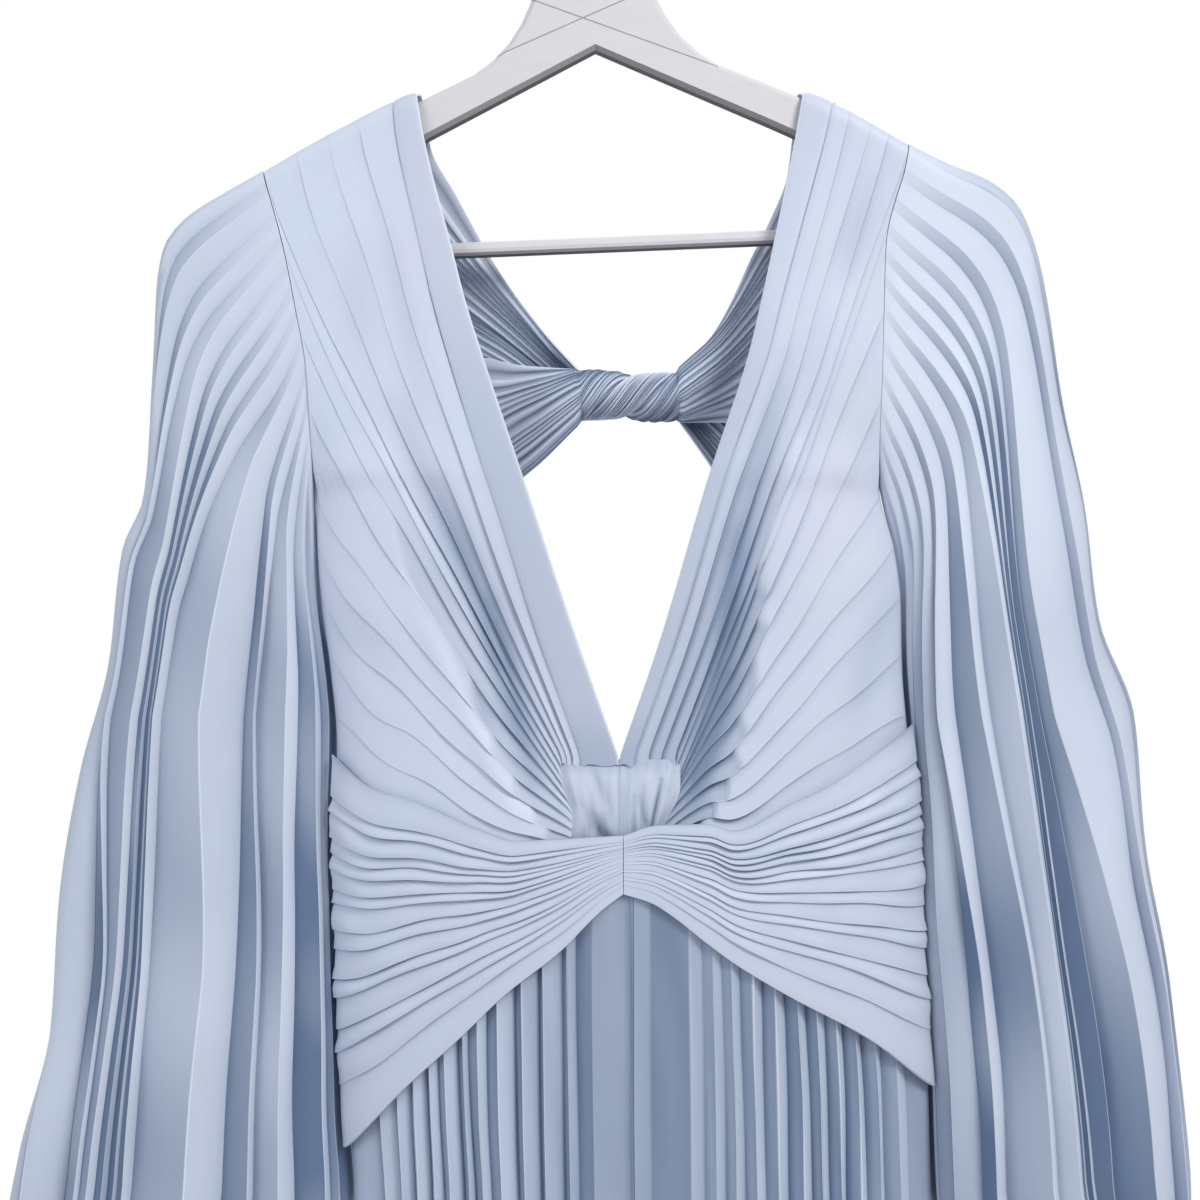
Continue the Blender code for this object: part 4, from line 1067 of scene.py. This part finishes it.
    # Painted highlight along the crisp outer edges; painted shade on faces turned from the light,
    # alternating at the cap and from the table lower down, and deeper into each valley.
    edge = np.where((step == 0) & (number % 2 == 0), 1.0, 0.0)[None, :] * ease(0.0, 0.06, v)
    cap_shade = np.where(number % 2 == (1 if left else 0), 0.42, 0.04)[None, :]
    hung_shade = 1.45 * np.array([face[0] for face in faces])[number][None, :]
    shade = cap_shade + (hung_shade - cap_shade) * ease(0.08, 0.28, v)
    shade = shade * (1 + 0.3 * drift(v, fold_seed + 2.0)) + 0.2 * downhill[None, :] ** 3
    shade = shade * (0.25 + 0.75 * ease(0.0, 0.1, v))
    return make_cloth(name, outer, outer - facing * CLOTH, shade, edge, closed=True)


def cuff_centre(left):
    """Middle of a cuff, under the end of its sleeve."""
    inner = (SLEEVE_IN_END_LEFT if left else SLEEVE_IN_END_RIGHT)[-1][0]
    outer = (SLEEVE_OUT_LEFT if left else SLEEVE_OUT_RIGHT)[-1][0]
    return (inner + outer) / 2


def cuff(name, left):
    """Narrow cuff below a sleeve, its edges folded under."""
    angle = np.linspace(0, 2 * math.pi, 73)[:-1][None, :]
    v = np.array([0, 0.03, 0.08, 0.2, 0.35, 0.5, 0.65, 0.8, 0.92, 0.97, 1.0])[:, None]
    z = CUFF_TOP_Z - SEAM - (CUFF_HEIGHT - SEAM) * v + 0 * angle
    inset = 0.8 * (np.abs(2 * v - 1) ** 8) + 0.25 * (1 + np.sin(3 * angle + 4 * v))
    across, deep = np.cos(angle), np.sin(angle)

    def ring(width, depth):
        """Points round the cuff."""
        return np.stack([cuff_centre(left) + width * across + 0 * v, depth * deep + 0 * v, z], axis=-1)

    outer = ring(CUFF_HALF_WIDTH - inset, CUFF_HALF_DEPTH - inset)
    inner = ring(CUFF_HALF_WIDTH - inset - CLOTH, CUFF_HALF_DEPTH - inset - CLOTH)
    return make_cloth(name, outer, inner, np.zeros_like(z), closed=True)


# Back wraps

# Each wrap: level of its lower edge at its own armhole, level of its upper edge at the other one; then as
# (across, level) points its neckline and lower edge up to the twist, its upper edge after it and its keyhole
WRAP_FROM_RIGHT = (
    -334.4,
    -301.6,
    [(116.5, -188), (106, -215), (96, -235), (84.5, -260), (74, -280)],
    [(150, -336), (135, -336.8), (118, -335), (85, -331)],
    [(-41, -297), (-62, -293), (-110, -293)],
    KEYHOLE_LEFT,
)
WRAP_FROM_LEFT = (
    -300.6,
    -335.4,
    [(-91, -172), (-76, -200), (-61, -227), (-46.5, -250), (-26, -276)],
    [(-140, -297.6), (-120, -296.8), (-100, -295.8), (-60, -302)],
    [(95, -316), (125, -331), (148, -336)],
    KEYHOLE_RIGHT,
)

# Columns across a wrap's pleat, and share of a wrap's width that ends in the side seam above the waist seam
STRAND_STEPS = (0, 0.04, 0.14, 0.3, 0.44, 0.5, 0.56, 0.7, 0.86, 0.96)
SIDE_SHARE = 0.72


def armhole_to_waist(top_z, left, end_x):
    """Boundary from a level of the back armhole down the side and along the waist seam."""
    waist = WAIST_Z + SEAM / 2
    corner = float(armhole_edge(waist, left))

    def point(s):
        on_side = s <= SIDE_SHARE
        z = np.where(on_side, top_z + (waist - top_z) * s / SIDE_SHARE, waist)
        x = corner + (end_x - corner) * (s - SIDE_SHARE) / (1 - SIDE_SHARE)
        return flat(np.where(on_side, armhole_edge(z, left), x), z)

    return point


def twist_level(s):
    """Level of a wrap's point where it enters the twist."""
    return TWIST_Z + TWIST_RADIUS * np.sin((0.5 - s) * 2 * TWIST_SPREAD)


def back_wrap(name, near):
    """Half of the open back: from one shoulder, through the twist, to the other side seam and the waist."""
    foot_z, top_z, neckline, under, upper, keyhole = WRAP_FROM_RIGHT if near else WRAP_FROM_LEFT
    start_left = not near
    layer = -1 if near else 1
    twist_ends = (TWIST_RIGHT_X, TWIST_LEFT_X)
    enter_x, leave_x = twist_ends if near else reversed(twist_ends)
    neck_x = float((neck_right if near else neck_left)(SHOULDER_Z)) + layer
    wall = CLOTH_WALL if near else 0

    def enter(s):
        """Edge where the strap goes into the twist."""
        return flat(enter_x, twist_level(s))

    def leave(s):
        """Edge where the fan comes out of the twist."""
        return flat(leave_x, twist_level(s))

    enter_low, enter_high = ends(enter)
    leave_low, leave_high = ends(leave)
    neck_top = (neck_x, float(shoulder_level(neck_x)))
    under_top = (float(armhole_edge(foot_z, start_left)), foot_z)
    upper_end = (float(armhole_edge(top_z, not start_left)), top_z)
    first_low = path_through([neck_top, *neckline, tuple(enter_low)])
    first_high = path_through([under_top, *under, tuple(enter_high)])
    last_low = path_through([tuple(leave_low), *upper, upper_end])
    last_high = path_through([tuple(leave_high), *keyhole[1:]])

    def layered(xz, s, wound):
        """Points of a wrap on its own layer of the back, gathered into a round bundle where it is wound."""
        x, z = xz[..., 0], xz[..., 1]
        side = np.where(x < CENTRE_X, left_side(z), right_side(z))
        parted = LAYER_LIFT * ease(0, 40, np.abs(x - side)) * (1 - ease(-280, -215, z))
        parted = parted * ease(WAIST_Z, WAIST_Z + 60, z)
        loose = np.stack([x, body_depth(x, z, 1) + layer * parted, z], axis=-1)
        depth = TWIST_RADIUS * np.cos((0.5 - s) * 2 * TWIST_SPREAD)
        round_y = TWIST_Y + layer * (depth - wall)
        bundle = np.stack([x, round_y + 0 * x, z], axis=-1)
        return loose + (bundle - loose) * wound[..., None]

    place, number, step = pleat_columns(shares(WRAP_PLEATS), STRAND_STEPS)
    s = place[None, :]
    first_t = np.concatenate([SEAM_ROWS, np.linspace(0.06, 0.985, 60)])[:, None]
    along = np.linspace(0, 1, 60)[:, None]
    last_t = np.linspace(0, 1, 60)[1:][:, None]
    start = shoulder_and_side(neck_x, start_left, [(0.5, shoulder_tip(start_left)[1]), (1, foot_z)])
    finish = armhole_to_waist(top_z, not start_left, keyhole[-1][0])
    strap = coons(start, enter, first_low, first_high, s, first_t)
    strap = layered(strap, s, ease(0.68, 1.0, first_t) + 0 * s)
    fan = coons(leave, finish, last_low, last_high, s, last_t)
    fan = layered(fan, s, 1 - ease(0.0, 0.3, last_t) + 0 * s)
    x = enter_x + (leave_x - enter_x) * along + 0 * s
    turn = 2 * math.pi * (TWIST_RIGHT_X - x) / (TWIST_RIGHT_X - TWIST_LEFT_X)
    curled = ease(0.0, 0.16, along) * (1 - ease(0.84, 1.0, along))
    spread = (s - 0.5) * 2 * (TWIST_SPREAD + 0.035 * math.pi * curled)
    angle = turn + spread if near else turn + math.pi - spread
    radius = (TWIST_RADIUS - wall) * (1 - 0.1 * np.sin(math.pi * along))
    radius = radius * (1 - 0.42 * curled * np.abs(2 * s - 1) ** 5)
    rope = np.stack([x, TWIST_Y - radius * np.cos(angle), TWIST_Z - radius * np.sin(angle)], axis=-1)
    base = np.concatenate([strap, rope, fan], axis=0)
    run = np.concatenate([first_t, 1 + along, 2 + last_t])
    facing = grid_normals(base, closed=False) * -layer
    near_end = np.minimum(run, 3 - run)
    depth = 2.3 * (ease(0.0, 0.2, near_end) - 0.25 * ease(0.6, 0.9, near_end))
    rim = np.where((number == 0) | (number == len(WRAP_PLEATS) - 1), 0.3, 1.0)[None, :]
    uneven = np.clip(1 + 0.3 * drift(run / 3, 2.2 + number[None, :] * 0.8 + (0 if near else 3)), 0.6, 1.3)
    carve = pressed(step)[None, :] * depth * uneven * rim
    # Painted highlight along each pleat's edges; painted shade in each fold's hollow, stronger and uneven
    # where the wrap is wound into the twist, and on one face of each pleat.
    edge = np.interp(step, (0, 0.05, 0.14, 0.86, 0.97, 1), (1, 0.7, 0, 0, 0.7, 1))[None, :]
    edge = edge * ease(0.0, 0.1, near_end)
    outer = base - facing * carve[..., None]
    inner = outer - facing * CLOTH
    trough_shade = np.interp(step, (0, 0.14, 0.3, 0.5, 0.7, 0.86, 1), (0, 0.04, 0.42, 1, 0.42, 0.04, 0))[None, :]
    wound = ease(0.6, 1.0, near_end)
    strength = 0.6 + 0.6 * wound + 0.5 * np.sin(number[None, :] * 2.3 + 4 * run) * wound
    shade = trough_shade * np.clip(depth * uneven / 1.6, 0, 1) * np.clip(strength, 0, 1.5)
    shade = shade + 0.14 * ((step > 0.5) == near)[None, :]
    return make_cloth(name, keep_side(outer, 1), keep_side(inner, 1), shade, edge)


# Finishes

# Colours of the satin: one pale blue satin, with lighter and darker copies of its tint as painted light and
# shade, dark colours painted into its hollows as shade and a pale colour painted on its crisp edges as
# highlight
ICE = (0.60, 0.655, 0.76, 1)
LAVENDER = (0.62, 0.645, 0.755, 1)
BRIGHTENED_ICE = (0.64, 0.70, 0.81, 1)
BRIGHTENED_LAVENDER = (0.665, 0.69, 0.805, 1)
GREY_ICE = (0.50, 0.57, 0.68, 1)
SHADED_ICE = (0.52, 0.59, 0.71, 1)
PALE_ICE = (0.66, 0.715, 0.82, 1)
BRIGHT_ICE = (0.74, 0.79, 0.89, 1)
# Pale colour of the painted highlight on crisp edges
EDGE_HIGHLIGHT = (0.78, 0.83, 0.91, 1)
TROUGH_SHADE = (0.19, 0.26, 0.38, 1)
DEEP_TROUGH_SHADE = (0.12, 0.18, 0.29, 1)

# Tint, cooler tint and painted shade colour of each satin; the brighter tints of the left front, sleeves and
# wraps and the darker ones of the skirt are painted light and shade
SATINS = {
    "front_satin": (ICE, LAVENDER, TROUGH_SHADE),
    "left_front_brightened_satin": (BRIGHTENED_ICE, BRIGHTENED_LAVENDER, TROUGH_SHADE),
    "band_satin": (ICE, LAVENDER, TROUGH_SHADE),
    "sash_satin": (ICE, LAVENDER, TROUGH_SHADE),
    "skirt_satin": (SHADED_ICE, GREY_ICE, DEEP_TROUGH_SHADE),
    "sleeve_satin": (PALE_ICE, ICE, DEEP_TROUGH_SHADE),
    "wrap_satin": (BRIGHT_ICE, PALE_ICE, DEEP_TROUGH_SHADE),
}

# Ports of the weave: way, kind, names; and the scale of its threads
SATIN_PORTS = [
    ("INPUT", "Color", ("Tint", "Cool Tint", "Trough Shade", "Edge Tint")),
    ("INPUT", "Float", ("Fold", "Edge")),
    ("OUTPUT", "Color", ("Color",)),
    ("OUTPUT", "Float", ("Roughness", "Height")),
]
THREAD_SCALE = (2600.0, 2600.0, 420.0)

# Wire of the hook
WIRE_COLOUR = (0.78, 0.79, 0.80, 1)

# Two fine grooves that cross on the hanger's neck, drawn as dark lines of painted shade, in metres: where
# they cross, then slope and reach of each
GROOVE_X = -0.0023
GROOVE_Z = -0.1022
GROOVES = [(0.44, -0.075, 0.03), (-0.36, -0.038, 0.075)]
GROOVE_HALF_WIDTH = 0.00045
GROOVE_SHADE = (0.36, 0.34, 0.33, 1)
WOOD_COLOURS = (0.68, 0.65, 0.66, 1), (0.73, 0.705, 0.71, 1)
UNDERSIDE_SHADE = (0.10, 0.10, 0.095, 1)
GRAIN_SCALE = (25.0, 300.0, 160.0)


def feed(tree, node, inputs):
    """Give each named input of a node its value, or the output that feeds it."""
    for name, value in inputs.items():
        if isinstance(value, bpy.types.NodeSocket):
            tree.links.new(value, node.inputs[name])
        else:
            node.inputs[name].default_value = value


def add(tree, kind, inputs=None, **settings):
    """Add a node with its settings and inputs."""
    node = tree.nodes.new(kind)
    for name, value in settings.items():
        setattr(node, name, value)
    feed(tree, node, inputs or {})
    return node


def blend(tree, share, first, second):
    """Blend two colours."""
    inputs = {"Factor": share, "A": first, "B": second}
    return add(tree, "ShaderNodeMix", inputs, data_type="RGBA").outputs["Result"]


def maths(tree, operation, *values):
    """Work out one value from others."""
    return add(tree, "ShaderNodeMath", dict(enumerate(values)), operation=operation).outputs["Value"]


def remap(tree, value, ends):
    """Carry a value from one range over to another."""
    return add(tree, "ShaderNodeMapRange", {"Value": value, **ends}).outputs["Result"]


def noise(tree, where, scale, detail):
    """Value that varies from place to place."""
    inputs = {"Vector": where, "Scale": scale, "Detail": detail}
    return add(tree, "ShaderNodeTexNoise", inputs).outputs["Fac"]


def stretched(tree, where, scale):
    """Places drawn out along the piece's own directions."""
    return add(tree, "ShaderNodeMapping", {"Vector": where, "Scale": scale}).outputs["Vector"]


def bumped(tree, height, strength, distance):
    """Direction of a surface with faint relief."""
    inputs = {"Height": height, "Strength": strength, "Distance": distance}
    return add(tree, "ShaderNodeBump", inputs).outputs["Normal"]


def new_material(name):
    """Start a material: return it with its nodes and its shader."""
    material = bpy.data.materials.new(name)
    material.use_nodes = True
    return material, material.node_tree, material.node_tree.nodes["Principled BSDF"]


def satin_group():
    """Satin's slow change of tint, painted shade in its troughs and on faces turned from the light, painted
    highlights on its crisp edges, and the faint run of its threads.
    """
    group = bpy.data.node_groups.new("satin_weave", "ShaderNodeTree")
    for way, kind, names in SATIN_PORTS:
        for name in names:
            group.interface.new_socket(name, in_out=way, socket_type="NodeSocket" + kind)
    given = add(group, "NodeGroupInput").outputs
    where = add(group, "ShaderNodeTexCoord").outputs["Object"]
    clouds = remap(group, noise(group, where, 7.0, 2.0), {"From Min": 0.4, "From Max": 0.65})
    cooled = blend(group, clouds, given["Tint"], given["Cool Tint"])
    # Painted shade: the fold value blends the tint towards a dark colour.
    dark = blend(group, maths(group, "POWER", given["Fold"], 1.1), cooled, given["Trough Shade"])
    # Painted highlight: the edge value blends towards a pale colour.
    pale = blend(group, maths(group, "POWER", given["Edge"], 1.5), dark, given["Edge Tint"])
    threads = noise(group, stretched(group, where, THREAD_SCALE), 1.0, 1.0)
    gloss = remap(group, threads, {"To Min": 0.44, "To Max": 0.56})
    add(group, "NodeGroupOutput", {"Color": pale, "Roughness": gloss, "Height": threads})
    return group


def satin(name, group, tint, cool, trough_shade):
    """Satin of one piece, with painted shade where the piece's fold value asks for it and painted highlight
    along its crisp edges.
    """
    material, tree, shader = new_material(name)
    weave = add(tree, "ShaderNodeGroup", node_tree=group)
    # The piece's fold attribute carries painted shade and its edge attribute painted highlight.
    for word, port in (("fold", "Fold"), ("edge", "Edge")):
        kept = add(tree, "ShaderNodeAttribute", attribute_name=word)
        feed(tree, weave, {port: kept.outputs["Fac"]})
    feed(tree, weave, {"Tint": tint, "Cool Tint": cool, "Trough Shade": trough_shade, "Edge Tint": EDGE_HIGHLIGHT})
    feed(tree, shader, {
        "Base Color": weave.outputs["Color"],
        "Roughness": weave.outputs["Roughness"],
        "Normal": bumped(tree, weave.outputs["Height"], 0.03, 0.0002),
        "Specular IOR Level": 0.5,
        "Sheen Weight": 0.15,
        "Sheen Roughness": 0.4,
    })
    return material


def painted_wood():
    """Pale painted wood with a faint grain, two crossing grooves drawn as dark lines of painted shade, and
    painted shade on its underside.
    """
    material, tree, shader = new_material("pale_painted_wood")
    where = add(tree, "ShaderNodeTexCoord").outputs
    grain = noise(tree, stretched(tree, where["Object"], GRAIN_SCALE), 1.0, 4.0)
    colour = blend(tree, grain, *WOOD_COLOURS)
    parts = add(tree, "ShaderNodeSeparateXYZ", {"Vector": where["Object"]}).outputs
    # The grooves are drawn as dark lines of painted shade.
    for slope, from_x, to_x in GROOVES:
        level = maths(tree, "MULTIPLY_ADD", parts["X"], -slope, slope * GROOVE_X - GROOVE_Z)
        line = maths(tree, "COMPARE", maths(tree, "ADD", level, parts["Z"]), 0.0, GROOVE_HALF_WIDTH)
        reach = maths(tree, "COMPARE", parts["X"], (from_x + to_x) / 2, (to_x - from_x) / 2)
        colour = blend(tree, maths(tree, "MULTIPLY", line, reach), colour, GROOVE_SHADE)
    # Painted shade on faces turned downwards.
    facing = add(tree, "ShaderNodeSeparateXYZ", {"Vector": where["Normal"]}).outputs["Z"]
    below = remap(tree, facing, {"From Min": -0.35, "From Max": -0.8})
    feed(tree, shader, {
        "Base Color": blend(tree, below, colour, UNDERSIDE_SHADE),
        "Normal": bumped(tree, grain, 0.08, 0.0006),
        "Roughness": 0.48,
    })
    return material


def hook_metal():
    """Polished wire with faint drawing marks."""
    material, tree, shader = new_material("polished_wire")
    marks = noise(tree, add(tree, "ShaderNodeTexCoord").outputs["Object"], 900.0, 2.0)
    gloss = remap(tree, marks, {"To Min": 0.14, "To Max": 0.3})
    feed(tree, shader, {"Base Color": WIRE_COLOUR, "Metallic": 1.0, "Roughness": gloss})
    return material


weave = satin_group()
satins = {name: satin(name, weave, *tints) for name, tints in SATINS.items()}


def dress(piece, node, satin_name):
    """Give a finished piece its satin and body, and hide the part that it replaces."""
    piece.data.materials.append(satins[satin_name])
    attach(piece, "root")
    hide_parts(node)


for left, word in ((True, "left"), (False, "right")):
    front = front_panel("pleated_front_" + word, left)
    # The left front gets a brightened copy of the satin: painted light where the lamps reach it less.
    front_satin = "left_front_brightened_satin" if left else "front_satin"
    dress(front, "front_" + word, front_satin)
    band = neck_band("folded_band_" + word, left)
    dress(band, "neck_band_" + word, "band_satin")
    insert = insert_half("gathered_insert_" + word, left)
    dress(insert, "insert_" + word, "front_satin")
    sash = sash_half("fanned_sash_" + word, left)
    dress(sash, "sash_" + word, "sash_satin")
    arm = sleeve("pleated_sleeve_" + word, left)
    dress(arm, "sleeve_" + word, "sleeve_satin")
    wrist = cuff("cuff_band_" + word, left)
    dress(wrist, "cuff_" + word, "band_satin")

near_wrap = back_wrap("twisted_wrap_right", True)
dress(near_wrap, "back_wrap_right", "wrap_satin")
far_wrap = back_wrap("twisted_wrap_left", False)
dress(far_wrap, "back_wrap_left", "wrap_satin")

left_skirt = skirt_panel("pleated_skirt_left", SKIRT_PLEATS_LEFT, left_side, left_of_centre, -1, 2.0)
dress(left_skirt, "skirt_front_left", "skirt_satin")
right_skirt = skirt_panel("pleated_skirt_right", SKIRT_PLEATS_RIGHT, right_of_centre, right_side, -1, 5.0)
dress(right_skirt, "skirt_front_right", "skirt_satin")
# Back skirt pleats: width, share that faces the light, painted shade on that face and on the other
back_pleats = [
    (20 + 3 * math.sin(2.3 * i), 0.5 + 0.14 * math.sin(1.7 * i + 1), 0.08 + 0.06 * math.sin(i), 0.88)
    for i in range(26)
]
back_skirt = skirt_panel("pleated_skirt_back", back_pleats, left_side, right_side, 1, 9.0)
dress(back_skirt, "skirt_back", "skirt_satin")

wood = painted_wood()
for node, finish in (("hanger_arms", wood), ("hanger_bar", wood), ("hanger_hook", hook_metal())):
    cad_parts[node].data.materials.clear()
    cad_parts[node].data.materials.append(finish)


# Floor, light and camera

# Lamps in metres: name, place, power, size, colour
LAMPS = [
    ("key_light", (1.15, -1.3, 0.8), 25.0, 0.7, (1.0, 0.985, 0.96)),
    ("fill_light", (-1.7, -1.4, 0.45), 13.0, 1.2, (0.93, 0.96, 1.0)),
    ("back_light", (0.2, 1.9, 0.6), 16.0, 1.2, (1.0, 1.0, 1.0)),
]
LAMP_AIM = (0.02, 0.0, -0.45)
AIR_BELOW = (0.10, 0.115, 0.14, 1)
AIR_ABOVE = (0.86, 0.90, 1.0, 1)
FLOOR_SIZE = 4.4
FLOOR_Z = -1.62
CAMERA_PLACE = (0.0075, -1.045, -0.435)
CAMERA_LENS = 54.5


def lay_floor():
    """Plain pale floor under the dress."""
    bpy.ops.object.select_all(action="DESELECT")
    bpy.ops.mesh.primitive_plane_add(size=FLOOR_SIZE, location=(0, 0, FLOOR_Z))
    floor = bpy.context.object
    floor.name = "studio_floor"
    paint, tree, shader = new_material("pale_floor")
    grain = add(tree, "ShaderNodeTexNoise", {"Scale": 40.0}).outputs["Fac"]
    tint = blend(tree, grain, (0.86, 0.86, 0.86, 1), (0.9, 0.9, 0.9, 1))
    feed(tree, shader, {"Base Color": tint, "Roughness": 0.8})
    floor.data.materials.append(paint)


def fill_air(scene):
    """Soft cool light from all round, paler above, before white paper."""
    scene.world = bpy.data.worlds.new("studio_air")
    scene.world.use_nodes = True
    tree = scene.world.node_tree
    where = add(tree, "ShaderNodeTexCoord").outputs["Generated"]
    up = add(tree, "ShaderNodeSeparateXYZ", {"Vector": where}).outputs["Z"]
    height = remap(tree, up, {"From Min": -0.9, "From Max": 0.7})
    air = tree.nodes["Background"]
    glow = blend(tree, height, AIR_BELOW, AIR_ABOVE)
    feed(tree, air, {"Color": glow, "Strength": 0.68})
    paper = add(tree, "ShaderNodeBackground", {"Color": (1, 1, 1, 1), "Strength": 1.0})
    seen = add(tree, "ShaderNodeLightPath").outputs["Is Camera Ray"]
    inputs = {"Fac": seen, 1: air.outputs["Background"], 2: paper.outputs["Background"]}
    choose = add(tree, "ShaderNodeMixShader", inputs)
    feed(tree, tree.nodes["World Output"], {"Surface": choose.outputs["Shader"]})


def hang_lamps(scene):
    """Soft lamps to the upper right, to the left and behind, all turned to the dress."""
    for name, place, power, size, colour in LAMPS:
        lamp = bpy.data.lights.new(name, "AREA")
        lamp.energy = power
        lamp.size = size
        lamp.color = colour
        holder = bpy.data.objects.new(name, lamp)
        scene.collection.objects.link(holder)
        holder.location = place
        aim = np.array(LAMP_AIM) - np.array(place)
        yaw = math.atan2(aim[1], aim[0]) - math.pi / 2
        pitch = math.atan2(aim[2], math.hypot(aim[0], aim[1])) + math.pi / 2
        holder.rotation_euler = (pitch, 0, yaw)


def set_camera(scene):
    """Camera straight ahead, at the picture's angle."""
    lens = bpy.data.cameras.new("camera")
    lens.sensor_width = 36
    lens.lens = CAMERA_LENS
    camera = bpy.data.objects.new("camera", lens)
    scene.collection.objects.link(camera)
    camera.location = CAMERA_PLACE
    camera.rotation_euler = (math.pi / 2, 0, 0)
    scene.camera = camera
    scene.view_settings.view_transform = "Standard"
    scene.view_settings.look = "None"


lay_floor()
fill_air(bpy.context.scene)
hang_lamps(bpy.context.scene)
set_camera(bpy.context.scene)
